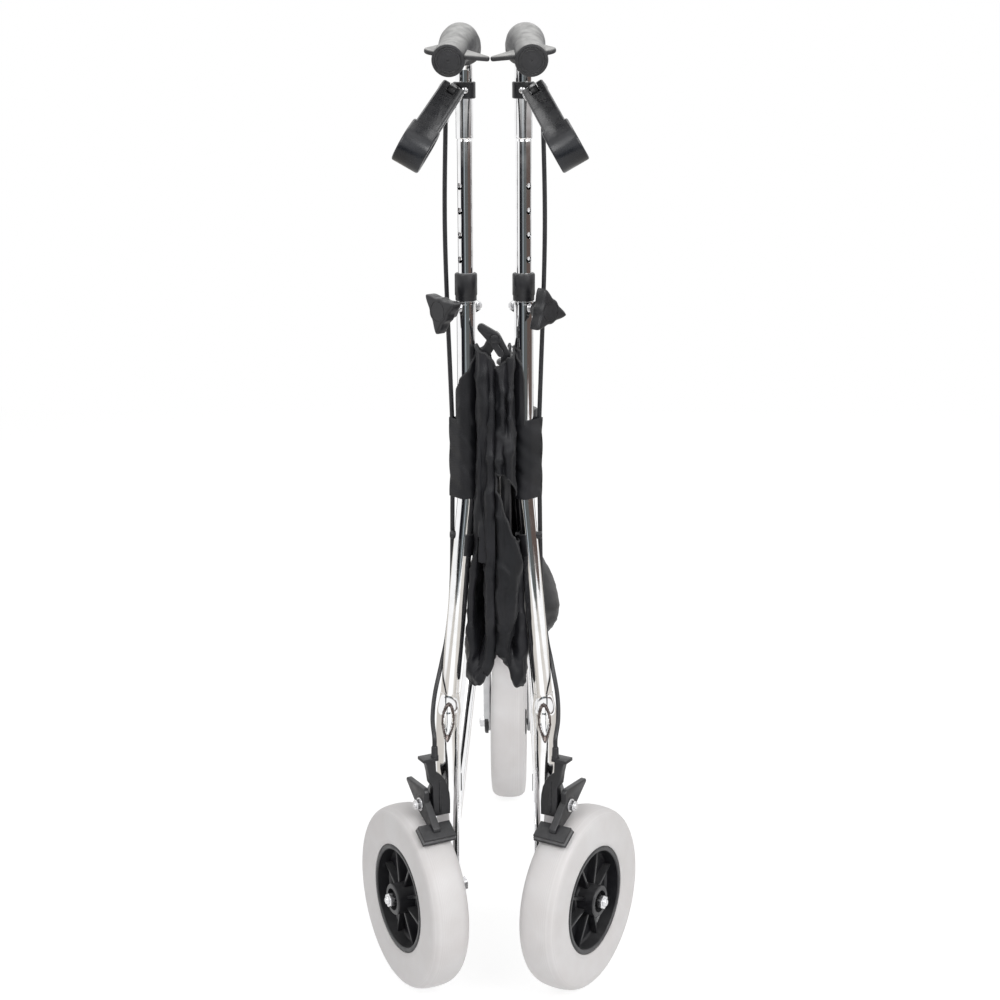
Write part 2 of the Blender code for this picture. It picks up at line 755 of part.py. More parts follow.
def make_wheel(place, tag, pivot, boss_high, boss_low, recess):
    """Hub with ribs, solid tyre and bearing bush; local Z is the axle, outward."""
    half = tyre_width / 2
    seat = boss_high - recess
    rim_edge = shoulder_half
    hub_profile = [(boss_r, boss_high), (boss_r, 0.0050), (dish_r, 0.0040), (rim_inner_r, rim_half),
                   (hub_r, rim_edge), (hub_r, -rim_edge), (rim_inner_r, -rim_half), (dish_r, -0.0040),
                   (boss_r, -0.0050), (boss_r, boss_low), (bush_r + gap, boss_low), (bush_r + gap, seat)]
    if recess:
        hub_profile += [(nut_recess_r, seat), (nut_recess_r, boss_high)]
    hub = turned(hub_profile, place, tyre_steps, ring=True)
    mesh = bpy.data.meshes.new("ribs")
    shape = bmesh.new()
    rib_middle = (boss_r + dish_r) / 2
    for i in range(rib_count):
        turn = Matrix.Rotation(2 * pi * (i + 0.5) / rib_count, 4, "Z")
        rib = turn @ Matrix.Translation((rib_middle, 0, 0)) @ Matrix.Diagonal((*rib_size, 1.0))
        bmesh.ops.create_cube(shape, size=1.0, matrix=rib)
    shape.to_mesh(mesh)
    shape.free()
    fuse(hub, link_mesh(mesh, place))
    finish(hub, "hub_" + tag, black_plastic, pivot)
    bead_r = hub_r + gap
    bead_half = half - 0.00275
    wall_r = hub_r + 0.0040
    flank_r = wheel_radius - 0.0070
    outer = [(wheel_radius, -tread_half), (shoulder_r, -shoulder_half), (flank_r, -half), (wall_r, -half + 0.0004),
             (bead_r, -bead_half)]
    tyre_profile = outer + [(radius, -height) for radius, height in reversed(outer)]
    finish(turned(tyre_profile, place, tyre_steps, ring=True), "tyre_" + tag, pale_rubber, pivot)
    stand = 0.0015 if recess else 0.0005
    bush = sleeve(bush_r, bore_r, boss_low - 0.0005, seat + stand, place)
    finish(bush, "bush_" + tag, zinc, pivot)


nut_r = 0.0075
nut_edge = 0.0008


def make_rear_axle(side, tag, pivot):
    """Axle bolt through the leg's foot, with its nut outside the hub."""
    place = basis(wheel_center(side), wheel_axis(side), up)
    leg_face = -(leg_offset + leg_tube_r)
    seat = rear_boss_high - nut_recess + 0.0018
    shaft = rod(axle_r, leg_face - 0.0023, seat + 0.0032, place, 16)
    head = rod(nut_r, leg_face - 0.0063, leg_face - 2 * gap, place, 6)
    nut = rod(nut_r, seat, seat + 0.0089, place, 6, nut_edge)
    fuse(shaft, head, nut)
    finish(shaft, "axle_bolt_" + tag, zinc, pivot)


# Folding brace: a flat bar on each upright, crossed at a middle pivot with a latch
brace_x = 0.0105
brace_z = 0.4606
brace_top_z = 0.6710
brace_clamp_half = 0.0130
eye_r = 0.0045
link_thick = 0.0040
brace_pin_r = 0.0020
knuckle_half = 0.0077
latch_thick = 0.0060
left_link_y = upright_y - 0.0150
right_link_y = left_link_y + link_thick + gap


def make_brace_clamp(side, tag, pivot):
    """Ring on the upright with two ears and the upright pin of the brace yoke."""
    low, high = brace_z - brace_clamp_half, brace_z + brace_clamp_half
    tube = upright_center(side, brace_z)
    eye = at(side * brace_x, upright_y, brace_z)
    order = [(tube.x, tube.y - rear_axle_y, frame_tube_r + 0.0030), (eye.x, upright_y, eye_r)]
    if side > 0:
        order.reverse()
    body = level_plate([hull_outline(order)], low, high)
    slot = block((0.0145, 0.024, 2 * (knuckle_half + gap)), Matrix.Translation(eye - right * side * 0.00225))
    cut(body, slot)
    fuse(body, rod(brace_pin_r, low, high, Matrix.Translation((eye.x, eye.y, 0)), 10))
    cut(body, upright_bore(side, low, high, frame_tube_r))
    bolt = rod(0.0055, frame_tube_r + 0.0015, frame_tube_r + 0.0070, basis(tube, Vector((side, 0, 0)), up), 6)
    fuse(body, bolt)
    finish(body, "brace_clamp_" + tag, black_plastic, pivot)


def make_brace_yoke(side, tag, pivot):
    """Knuckle that swings on the upright pin and carries the link's cross pin."""
    place = Matrix.Translation(at(side * brace_x, upright_y, brace_z))
    knuckle = sleeve(eye_r, brace_pin_r + gap, -knuckle_half, knuckle_half, place, 16)
    link_y = left_link_y if side < 0 else right_link_y
    near = upright_y - (link_y + link_thick / 2 + gap)
    far = upright_y - (link_y - link_thick / 2 - 0.0012)
    cross = place @ Matrix.Rotation(pi / 2, 4, "X")
    pin = rod(brace_pin_r, brace_pin_r + 0.0010, far, cross)
    collar = rod(0.0032, 0.0034, near, cross)
    fuse(knuckle, collar, pin)
    finish(knuckle, "brace_yoke_" + tag, zinc, pivot)


def make_brace_link(side, tag, pivot):
    """Flat bar with a tab at its top that reaches in to the middle pivot."""
    link_y = left_link_y if side < 0 else right_link_y
    face = basis(at(0, link_y, 0), rearward, right)
    low = (side * brace_x, brace_z, eye_r + 0.0007)
    knee = (side * brace_x, brace_top_z - 0.018, eye_r)
    top = (0.0, brace_top_z, eye_r + 0.0012)
    hole = circle(side * brace_x, brace_z, brace_pin_r + gap)
    link = plate([hull_outline([low, knee]), hole], link_thick, face)
    fuse(link, plate([hull_outline([knee, top])], link_thick, face))
    if side < 0:
        centre = basis(at(0, link_y, brace_top_z), rearward, up)
        latch_far = link_thick / 2 + latch_thick + 2 * gap
        fuse(link, rod(brace_pin_r, 0.0, latch_far + 0.0010, centre), rod(0.0040, latch_far, latch_far + 0.0016, centre))
    move_origin(link, at(side * brace_x, link_y, brace_z))
    finish(link, "brace_link_" + tag, zinc, pivot)


def make_latch(pivot):
    """Small lever on the brace's middle pivot that holds the brace straight."""
    y = left_link_y - link_thick / 2 - gap - latch_thick / 2
    face = basis(at(0, y, 0), rearward, right)
    middle = (0.0, brace_top_z, 0.0066)
    tip = (-0.0125, brace_top_z + 0.0105, 0.0040)
    hole = circle(0, brace_top_z, brace_pin_r + gap)
    body = plate([hull_outline([tip, middle]), hole], latch_thick, face)
    root = (0.0, brace_top_z - 0.006, 0.0030)
    hook = (0.0060, brace_top_z - 0.0150, 0.0032)
    fuse(body, plate([hull_outline([root, hook])], latch_thick, face))
    cut(body, rod(brace_pin_r + gap, -0.02, 0.02, basis(at(0, y, brace_top_z), -rearward, up)))
    move_origin(body, at(0, y, brace_top_z))
    finish(body, "brace_latch", black_plastic, pivot)


# Head: tube, brackets, cap, fork and front wheel, stacked up from the top of the front tyre
crown_low = axle_height + wheel_radius + 0.0096
crown_high = crown_low + 0.0090
head_low = crown_high + 0.0120
head_high = 0.5600
hinge_bottom = head_low + 0.0300
hinge_top = head_high - 0.0040
lower_bracket_low = hinge_bottom + 0.0120
lower_bracket_height = 0.0250
upper_bracket_low = hinge_top - 0.0700
upper_bracket_height = 0.0260
bracket_eye_r = 0.0145
bracket_nose_r = 0.0180
turn_gap = 0.0005
cap_r = 0.0138
cap_height = 0.0060
cap_plug = 0.0100
stem_r = 0.0104
race_r = 0.0145
crown_r = 0.0096
blade_thick = 0.0090
blade_x = tyre_width / 2 + 0.00175 + blade_thick / 2
tip_r = 0.0120
seat_x = blade_x - 0.0013
seat_r = 0.0160


def make_head():
    """Head tube, the brackets that carry both hinges, and the cap."""
    place = Matrix.Translation(at(0, stem_y, 0))
    tube = sleeve(head_tube_r, head_tube_r - tube_wall, head_low, head_high, place, tube_sides)
    finish(tube, "head_tube", chrome)
    spans = (("lower", lower_bracket_low, lower_bracket_height), ("upper", upper_bracket_low, upper_bracket_height))
    for tag, low, height in spans:
        order = [(-hinge_x, hinge_y, bracket_eye_r), (hinge_x, hinge_y, bracket_eye_r), (0.0, stem_y, bracket_nose_r)]
        holes = [circle(s * hinge_x, hinge_y, frame_tube_r + turn_gap, tube_sides) for s in (-1, 1)]
        holes.append(circle(0, stem_y, head_tube_r + turn_gap, tube_sides))
        body = level_plate([hull_outline(order)] + holes, low, low + height)
        finish(body, "head_bracket_" + tag, black_plastic)
    inner = head_tube_r - tube_wall - gap
    top = head_high + cap_height
    cap_profile = [(0, top), (cap_r - 0.0028, top), (cap_r, top - 0.0025), (cap_r, head_high + gap),
                   (inner, head_high + gap), (inner, head_high - cap_plug), (0, head_high - cap_plug)]
    finish(turned(cap_profile, place), "head_cap", black_plastic)


def make_fork(pivot):
    """Castor fork: crown, two blades and the stem that turns in the head tube."""
    place = Matrix.Translation(at(0, stem_y, 0))
    stem = rod(stem_r, crown_low + 0.001, head_high - cap_plug - 0.001, place, 16)
    arm = blade_x - 0.0050
    rim = hull_outline([(-arm, stem_y, crown_r), (0.0, stem_y - 0.0055, 0.0100),
                        (arm, stem_y, crown_r), (0.0, stem_y + 0.0055, 0.0100)], 5)
    race = rod(race_r, crown_high - 0.001, head_low - gap, place, 16)
    fuse(stem, level_plate([rim], crown_low, crown_high), race)
    axle = at(0, wheelbase, axle_height)
    across = basis(axle, right, up)
    for s in (-1, 1):
        side_view = basis(at(s * blade_x, 0, 0), right, -rearward)
        rim = hull_outline([(wheelbase, axle_height, tip_r), (stem_y, crown_high - crown_r, crown_r)])
        fuse(stem, plate([rim], blade_thick, side_view, 0.0010))
    # The blades are milled down round the axle, where the end caps sit
    seat = cut(rod(seat_r, -0.05, 0.05, across, 16), rod(2 * seat_r, -seat_x, seat_x, across, 16))
    cut(stem, seat, rod(bore_r, -0.05, 0.05, across))
    move_origin(stem, at(0, stem_y, crown_low))
    finish(stem, "fork", silver_paint, pivot)
    return axle


front_cap_r = 0.0150
front_cap_high = 0.0312


def make_front_fittings(axle, pivot):
    """Black end caps over the blade ends, and the axle through them."""
    shaft = rod(axle_r, -front_cap_high - 0.0028, front_cap_high + 0.0028, basis(axle, right, up), 16)
    for s, tag in ((-1, "left"), (1, "right")):
        along = basis(axle, right * s, up)
        low = seat_x + gap
        profile = [(front_cap_r - 0.0030, front_cap_high), (front_cap_r, front_cap_high - 0.0022),
                   (front_cap_r, low), (bore_r, low), (bore_r, front_cap_high)]
        finish(turned(profile, along, 16, ring=True), "front_cap_" + tag, black_plastic, pivot)
        fuse(shaft, rod(nut_r, front_cap_high + gap, front_cap_high + 0.0061, along, 6, nut_edge))
    finish(shaft, "front_axle", zinc, pivot)


bag_rear = 0.112
bag_low = 0.280
bag_high = 0.650
bag_thick = 0.020


def make_bag():
    """Folded shopping bag, kept flat between the side frames."""
    front = hinge_y - bracket_eye_r - gap
    place = Matrix.Translation(at(0, (front + bag_rear) / 2, (bag_low + bag_high) / 2))
    bag = block((bag_thick, front - bag_rear, bag_high - bag_low), place, 0.006)
    finish(bag, "bag", black_cloth)


def make_side(side, tag):
    """One side frame with everything that swings on it."""
    fold = empty("fold_" + tag, at(side * hinge_x, hinge_y, lower_stay_high))
    slide = empty("height_" + tag, at(side * upright_x, upright_y, bolt_height))
    make_upright(side, tag, fold)
    make_leg(side, tag, fold)
    make_stay(side, tag, fold, "lower_stay_", lower_stay_low, lower_stay_high, leg_tube_r)
    make_stay(side, tag, fold, "upper_stay_", bolt_height - upper_stay_drop, upper_stay_high, frame_tube_r)
    make_hinge_tube(side, tag, fold)
    make_collar(side, tag, fold)
    make_knob(side, tag, fold)
    make_handle_tube(side, tag, slide)
    make_grip(side, tag, slide)
    make_housing(side, tag, slide)
    make_lever(side, tag, slide)
    make_cables(side, tag, slide, fold)
    make_bag_sleeve(side, tag, fold)
    make_brake_bracket(side, tag, fold)
    make_brake_arm(side, tag, fold)
    make_rear_axle(side, tag, fold)
    spin = empty("wheel_" + tag, wheel_center(side))
    place = basis(wheel_center(side), wheel_axis(side), up)
    make_wheel(place, tag, spin, rear_boss_high, rear_boss_low, nut_recess)
    make_brace_clamp(side, tag, fold)
    make_brace_yoke(side, tag, fold)
    make_brace_link(side, tag, fold)


def build():
    """The whole walker: head, both side frames, latch, castor and bag."""
    make_head()
    for side, tag in ((-1, "left"), (1, "right")):
        make_side(side, tag)
    make_latch(empty("latch", at(0, left_link_y, brace_top_z)))
    swivel = empty("swivel", at(0, stem_y, crown_low))
    axle = make_fork(swivel)
    make_front_fittings(axle, swivel)
    spin = empty("wheel_front", axle)
    make_wheel(basis(axle, right, up), "front", spin, front_boss_half, -front_boss_half, 0.0)
    make_bag()


build()
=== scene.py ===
import json
import bpy
import bmesh
from math import asin, atan2, cos, exp, pi, radians, sin, sqrt
from mathutils import Matrix, Vector, noise


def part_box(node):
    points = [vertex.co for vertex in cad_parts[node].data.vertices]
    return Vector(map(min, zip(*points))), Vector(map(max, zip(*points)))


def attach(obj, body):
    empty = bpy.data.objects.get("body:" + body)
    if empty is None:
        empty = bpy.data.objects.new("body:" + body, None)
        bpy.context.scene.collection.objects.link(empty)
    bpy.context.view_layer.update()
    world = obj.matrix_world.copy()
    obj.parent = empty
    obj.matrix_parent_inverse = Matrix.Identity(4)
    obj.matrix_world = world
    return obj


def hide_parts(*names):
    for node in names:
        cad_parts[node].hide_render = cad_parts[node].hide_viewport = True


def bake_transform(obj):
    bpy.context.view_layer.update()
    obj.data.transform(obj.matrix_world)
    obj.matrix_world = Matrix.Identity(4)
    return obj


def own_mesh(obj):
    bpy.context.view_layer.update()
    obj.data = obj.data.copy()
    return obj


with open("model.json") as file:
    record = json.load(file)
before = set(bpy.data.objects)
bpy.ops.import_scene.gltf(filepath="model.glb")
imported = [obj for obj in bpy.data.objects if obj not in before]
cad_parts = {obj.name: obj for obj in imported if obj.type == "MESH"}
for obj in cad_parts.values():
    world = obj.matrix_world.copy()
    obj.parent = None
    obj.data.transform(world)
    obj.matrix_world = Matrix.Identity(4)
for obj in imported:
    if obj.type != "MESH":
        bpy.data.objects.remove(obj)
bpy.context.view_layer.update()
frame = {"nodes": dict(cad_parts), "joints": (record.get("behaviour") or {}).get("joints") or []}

print("frame loaded")

up = Vector((0, 0, 1))
joints = {joint["name"]: joint for joint in frame["joints"]}
wheelX, axleY, axleZ = joints["wheel_spin_right"]["pos_m"]
sides = ((-1, "left"), (1, "right"))


def at(x, y, z):
    # y counts from the rear axle line
    return Vector((x, y + axleY, z))


def beside(side, spot):
    # A spot that is given for the right side
    return at(side * spot[0], *spot[1:])


def link(name, data, matrix=Matrix.Identity(4)):
    obj = bpy.data.objects.new(name, data)
    obj.matrix_world = matrix
    bpy.context.scene.collection.objects.link(obj)
    return obj


# Camera: a 72 mm lens a little above the grips, looking down at the folded walker
camera = {"spot": (0.06606, -1.8899, 1.00244), "pitch": 14.47, "yaw": -1.839, "roll": -0.254, "lens": 72.0,
          "sensor": 36.0, "near": 0.05}


def makeCamera():
    pitch, yaw, roll = (radians(camera[key]) for key in ("pitch", "yaw", "roll"))
    forward = Vector((sin(yaw) * cos(pitch), cos(yaw) * cos(pitch), -sin(pitch)))
    right = Vector((cos(yaw), -sin(yaw), 0))
    lift = right.cross(forward)
    across = right * cos(roll) + lift * sin(roll)
    top = lift * cos(roll) - right * sin(roll)
    data = bpy.data.cameras.new("camera")
    data.lens, data.sensor_width, data.clip_start = camera["lens"], camera["sensor"], camera["near"]
    turn = Matrix((across, top, -forward)).transposed().to_4x4()
    bpy.context.scene.camera = link("camera", data, Matrix.Translation(at(*camera["spot"])) @ turn)


makeCamera()


# Shader nodes
def add(tree, kind, **settings):
    node = tree.nodes.new(kind)
    for key, value in settings.items():
        setattr(node, key, value)
    return node


def put(tree, socket, value):
    # Another node's output is linked, a number or a colour is set on the socket
    if isinstance(value, bpy.types.NodeSocket):
        tree.links.new(value, socket)
    else:
        socket.default_value = (*value, 1.0) if isinstance(value, tuple) and len(value) == 3 else value


def mathNode(tree, operation, *values):
    node = add(tree, "ShaderNodeMath", operation=operation)
    for socket, value in zip(node.inputs, values):
        put(tree, socket, value)
    return node.outputs[0]


def plus(tree, first, second):
    return mathNode(tree, "ADD", first, second)


def times(tree, first, second):
    return mathNode(tree, "MULTIPLY", first, second)


def mixColor(tree, factor, first, second):
    node = add(tree, "ShaderNodeMix", data_type="RGBA")
    for i, value in ((0, factor), (6, first), (7, second)):
        put(tree, node.inputs[i], value)
    return node.outputs[2]


def spread(tree, value, low, high, toLow=0.0, toHigh=1.0):
    node = add(tree, "ShaderNodeMapRange", clamp=True)
    for socket, given in zip(node.inputs, (value, low, high, toLow, toHigh)):
        put(tree, socket, given)
    return node.outputs[0]


def objectPoint(tree):
    return add(tree, "ShaderNodeTexCoord").outputs["Object"]


def split(tree, vector):
    parts = add(tree, "ShaderNodeSeparateXYZ")
    put(tree, parts.inputs[0], vector)
    return parts.outputs


def noiseNode(tree, scale, detail, point=None):
    node = add(tree, "ShaderNodeTexNoise")
    put(tree, node.inputs["Scale"], scale)
    put(tree, node.inputs["Detail"], detail)
    if point is not None:
        put(tree, node.inputs["Vector"], point)
    return node.outputs["Fac"]


# Shader groups shared by the finishes
def newGroup(name, inputs, outputs):
    tree = bpy.data.node_groups.new(name, "ShaderNodeTree")
    for label, value in inputs.items():
        tree.interface.new_socket(label, in_out="INPUT", socket_type="NodeSocketFloat").default_value = value
    for label in outputs:
        tree.interface.new_socket(label, in_out="OUTPUT", socket_type="NodeSocketFloat")
    return tree, add(tree, "NodeGroupInput").outputs, add(tree, "NodeGroupOutput").inputs


def makeSmudge():
    # Handling marks: cloudy roughness and a thin film of colour change
    tree, given, out = newGroup("smudge", {"Scale": 40.0, "Amount": 0.1}, ("Mask", "Roughness"))
    mask = spread(tree, noiseNode(tree, given["Scale"], 4.0, objectPoint(tree)), 0.45, 0.70)
    put(tree, out["Mask"], mask)
    put(tree, out["Roughness"], times(tree, mask, given["Amount"]))
    return tree


def makeGrain():
    # Moulded grain: a fine pebble height with a softer wave under it
    tree, given, out = newGroup("grain", {"Scale": 900.0, "Wave": 0.3}, ("Height", "Mask"))
    point = objectPoint(tree)
    cells = add(tree, "ShaderNodeTexVoronoi", feature="SMOOTH_F1")
    put(tree, cells.inputs["Vector"], point)
    put(tree, cells.inputs["Scale"], given["Scale"])
    wave = noiseNode(tree, 60.0, 2.0, point)
    put(tree, out["Height"], plus(tree, cells.outputs["Distance"], times(tree, wave, given["Wave"])))
    put(tree, out["Mask"], spread(tree, wave, 0.35, 0.65))
    return tree


def makeWeave():
    # Plain weave: two crossed thread waves, one round the piece and one up it
    tree, given, out = newGroup("weave", {"Threads": 1500.0}, ("Height", "Mask"))
    point = objectPoint(tree)
    x, y, z = split(tree, point)
    warp, weft = (mathNode(tree, "SINE", times(tree, run, given["Threads"])) for run in (plus(tree, x, y), z))
    put(tree, out["Height"], times(tree, warp, weft))
    put(tree, out["Mask"], spread(tree, noiseNode(tree, 24.0, 4.0, point), 0.38, 0.66))
    return tree


def makeEdgeWear():
    # Rubbed edges: where the rounded normal leaves the true one, broken up by noise
    tree, given, out = newGroup("edgeWear", {"Width": 0.001}, ("Mask",))
    bevel = add(tree, "ShaderNodeBevel", samples=4)
    put(tree, bevel.inputs["Radius"], given["Width"])
    dot = add(tree, "ShaderNodeVectorMath", operation="DOT_PRODUCT")
    put(tree, dot.inputs[0], bevel.outputs[0])
    put(tree, dot.inputs[1], add(tree, "ShaderNodeNewGeometry").outputs["Normal"])
    broken = spread(tree, noiseNode(tree, 220.0, 3.0, objectPoint(tree)), 0.42, 0.62)
    put(tree, out["Mask"], times(tree, spread(tree, dot.outputs["Value"], 0.999, 0.90), broken))
    return tree


def makeDustAndPaintedTopLight():
    # Dust plus painted top light: a paler colour on faces that look up, broken up by noise
    tree, given, out = newGroup("dustAndPaintedTopLight", {"From": 0.3, "To": 0.9}, ("Mask",))
    rise = split(tree, add(tree, "ShaderNodeNewGeometry").outputs["Normal"])[2]
    cloudy = spread(tree, noiseNode(tree, 130.0, 4.0, objectPoint(tree)), 0.30, 0.62, 0.55, 1.0)
    put(tree, out["Mask"], times(tree, spread(tree, rise, given["From"], given["To"]), cloudy))
    return tree


smudge, grain, weave, edgeWear, dustAndPaintedTopLight = makeSmudge(), makeGrain(), makeWeave(), makeEdgeWear(), makeDustAndPaintedTopLight()


def placeGroup(tree, group, **values):
    node = add(tree, "ShaderNodeGroup", node_tree=group)
    for key, value in values.items():
        node.inputs[key].default_value = value
    return node.outputs


def newFinish(name):
    material = bpy.data.materials.new(name)
    material.use_nodes = True
    return material, material.node_tree


def surface(material, color, rough, relief=None, others={}):
    # Relief is a height with the strength and distance of its bump; others are more of the shader's sockets
    tree = material.node_tree
    shader = tree.nodes["Principled BSDF"].inputs
    for key, value in {"Base Color": color, "Roughness": rough, **others}.items():
        put(tree, shader[key], value)
    if relief:
        bump = add(tree, "ShaderNodeBump")
        for key, value in zip(("Height", "Strength", "Distance"), relief):
            put(tree, bump.inputs[key], value)
        put(tree, shader["Normal"], bump.outputs[0])
    return material


def metalFinish(name, clean, worn, rough, smudged, relief=None, grained=None, metallic=1.0, mottled=False):
    # Plate with handling marks; a coat also has grain, and a mottled one takes its colours from it
    material, tree = newFinish(name)
    marks = placeGroup(tree, smudge, Scale=smudged[0], Amount=smudged[1])
    pebble = placeGroup(tree, grain, Scale=grained[0], Wave=grained[1]) if grained else None
    if relief:
        relief = (pebble["Height"] if grained else noiseNode(tree, 30.0, 2.0, objectPoint(tree)), *relief)
    color = mixColor(tree, (pebble if mottled else marks)["Mask"], clean, worn)
    return surface(material, color, plus(tree, marks["Roughness"], rough), relief, {"Metallic": metallic})


def plasticFinish(name, color, rubbed, rough, grainScale, strength, dustAndPaintedTopLightColor=(0.05, 0.05, 0.052)):
    material, tree = newFinish(name)
    pebble = placeGroup(tree, grain, Scale=grainScale, Wave=0.4)
    marks = placeGroup(tree, smudge, Scale=90.0, Amount=0.16)
    worn = placeGroup(tree, edgeWear, Width=0.0012)
    # Faces that look up get a paler colour: dust plus a painted highlight of the light from above
    dustAndPaintedLight = placeGroup(tree, dustAndPaintedTopLight, From=0.35, To=0.90)
    base = mixColor(tree, pebble["Mask"], color, tuple(c * 1.35 for c in color))
    base = mixColor(tree, worn["Mask"], mixColor(tree, dustAndPaintedLight["Mask"], base, dustAndPaintedTopLightColor), rubbed)
    return surface(material, base, plus(tree, marks["Roughness"], rough), (pebble["Height"], strength, 0.0006))


def clothFinish(name, count, dark, light, rough, relief, others={}):
    material, tree = newFinish(name)
    threads = placeGroup(tree, weave, Threads=count)
    return surface(material, mixColor(tree, threads["Mask"], dark, light),
                   spread(tree, threads["Mask"], 0.0, 1.0, *rough), (threads["Height"], *relief), others)


def tyreFinish():
    material, tree = newFinish("paleTyre")
    point = objectPoint(tree)
    x, y, z = split(tree, point)
    # Fine lines run round the tread and walls, by distance from the axle and along it
    radius = mathNode(tree, "SQRT", plus(tree, times(tree, x, x), times(tree, y, y)))
    lines = mathNode(tree, "SINE", times(tree, plus(tree, times(tree, radius, 1.6), z), 4200.0))
    cloud = spread(tree, noiseNode(tree, 26.0, 5.0, point), 0.36, 0.68)
    dustAndPaintedLight = spread(tree, noiseNode(tree, 9.0, 2.0, point), 0.50, 0.72)
    base = mixColor(tree, cloud, (0.70, 0.675, 0.67), (0.76, 0.745, 0.745))
    base = mixColor(tree, times(tree, dustAndPaintedLight, 0.25), base, (0.55, 0.525, 0.505))
    base = mixColor(tree, spread(tree, lines, -1.0, 1.0, 0.0, 0.10), base, (0.40, 0.37, 0.36))
    height = plus(tree, times(tree, lines, 0.3), times(tree, cloud, 0.6))
    return surface(material, base, spread(tree, cloud, 0.0, 1.0, 0.42, 0.56), (height, 0.16, 0.0006))


# Each finish with the slot that it fills; the dark chrome is grime plus painted shade in the pressed rim of the leg
finishes = {
    "chrome": ("chrome", metalFinish("chromePlate", (0.93, 0.93, 0.94), (0.86, 0.86, 0.86), 0.04, (55.0, 0.05),
                                     (0.04, 0.002))),
    "chromeGrimeAndPaintedShade": ("chrome", metalFinish("chromeGrimeAndPaintedShade", (0.115, 0.095, 0.090), (0.27, 0.235, 0.225), 0.18,
                                         (300.0, 0.10))),
    "zinc": ("zinc", metalFinish("zincPlate", (0.72, 0.72, 0.73), (0.60, 0.60, 0.62), 0.22, (260.0, 0.14),
                                 (0.06, 0.0005), (1400.0, 0.2))),
    "cloth": ("black_cloth", clothFinish("nylonCloth", 2600.0, (0.0045, 0.0050, 0.0070), (0.0130, 0.0130, 0.0160),
                                         (0.54, 0.40), (0.25, 0.0004),
                                         {"Specular IOR Level": 0.30, "Sheen Weight": 0.05, "Sheen Roughness": 0.4})),
    "binding": ("black_cloth", clothFinish("bindingTape", 5200.0, (0.012, 0.012, 0.014), (0.03, 0.03, 0.032),
                                           (0.55, 0.70), (0.35, 0.0005))),
    "tyre": ("pale_rubber", tyreFinish()),
    "silver": ("silver_paint", metalFinish("silverCoat", (0.60, 0.61, 0.62), (0.68, 0.68, 0.69), 0.30, (70.0, 0.12),
                                           (0.10, 0.0004), (1600.0, 0.5), 0.55, True)),
    "plastic": ("black_plastic", plasticFinish("blackNylon", (0.010, 0.010, 0.012), (0.045, 0.045, 0.047), 0.34,
                                               1100.0, 0.10)),
    "glossPlastic": ("black_plastic", plasticFinish("blackLever", (0.009, 0.010, 0.013), (0.04, 0.04, 0.045), 0.24,
                                                    700.0, 0.05)),
    # The grip's pale grey on faces that look up is dust plus a painted highlight of the light from above
    "rubber": ("black_rubber", plasticFinish("gripRubber", (0.020, 0.020, 0.022), (0.06, 0.06, 0.06), 0.42, 1500.0,
                                             0.22, (0.40, 0.398, 0.39))),
    # The grey of the shoe band stands in for the highlight along the shoe: a painted highlight
    "paintedHighlightRubber": ("black_rubber", plasticFinish("shoeBandPaintedHighlight", (0.11, 0.11, 0.115), (0.16, 0.16, 0.16), 0.50, 1500.0,
                                                0.22, (0.18, 0.18, 0.18))),
}
print("finishes made")


# Modelling helpers
def smooth(obj, angle=40.0):
    obj.data.shade_smooth()
    obj.data.set_sharp_from_angle(angle=radians(angle))
    return obj


def paint(obj, finish):
    slot, material = finishes[finish]
    obj.data.materials.clear()
    obj.data.materials.append(material)


def dress(obj, finish, body, *nodes):
    paint(obj, finish)
    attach(obj, body)
    if nodes:
        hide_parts(*nodes)
    return obj


def basis(origin, zAxis, xHint):
    zDir = Vector(zAxis).normalized()
    xDir = (Vector(xHint) - zDir * Vector(xHint).dot(zDir)).normalized()
    turn = Matrix((xDir, zDir.cross(xDir), zDir)).transposed().to_4x4()
    return Matrix.Translation(origin) @ turn


def shift(place, x, y, z):
    return place @ Matrix.Translation((x, y, z))


def evaluated(obj):
    bpy.context.view_layer.update()
    return bpy.data.meshes.new_from_object(obj.evaluated_get(bpy.context.evaluated_depsgraph_get()))


def modify(obj, kind, **settings):
    step = obj.modifiers.new(kind.lower(), kind)
    for key, value in settings.items():
        setattr(step, key, value)
    return obj


def applyAll(obj):
    # The object's modifiers become its mesh
    mesh = evaluated(obj)
    obj.modifiers.clear()
    obj.data = mesh
    return obj


def soften(obj, width, angle=35.0):
    return applyAll(modify(obj, "BEVEL", width=width, segments=2, limit_method="ANGLE", angle_limit=radians(angle)))


def booleans(obj, operation, *others):
    for other in others:
        modify(obj, "BOOLEAN", operation=operation, solver="EXACT", object=other)
    applyAll(obj)
    for other in others:
        bpy.data.objects.remove(other)
    return smooth(obj)


def finishShape(shape, name, matrix=Matrix.Identity(4), mesh=None, outward=True):
    mesh = mesh or bpy.data.meshes.new(name)
    if outward:
        bmesh.ops.recalc_face_normals(shape, faces=shape.faces)
    shape.to_mesh(mesh)
    shape.free()
    return link(name, mesh, matrix)


def stitch(shape, rows, closed=False):
    # Faces between each row of points and the next
    for a, b in zip(rows, rows[1:]):
        for k in range(len(a) if closed else len(a) - 1):
            n = (k + 1) % len(a)
            shape.faces.new((a[k], a[n], b[n], b[k]))


def circle(count):
    return [(cos(2 * pi * k / count), sin(2 * pi * k / count)) for k in range(count)]


def mirrored(half):
    # A profile's upper half and the same below
    return half + [(r, -h) for r, h in reversed(half)]


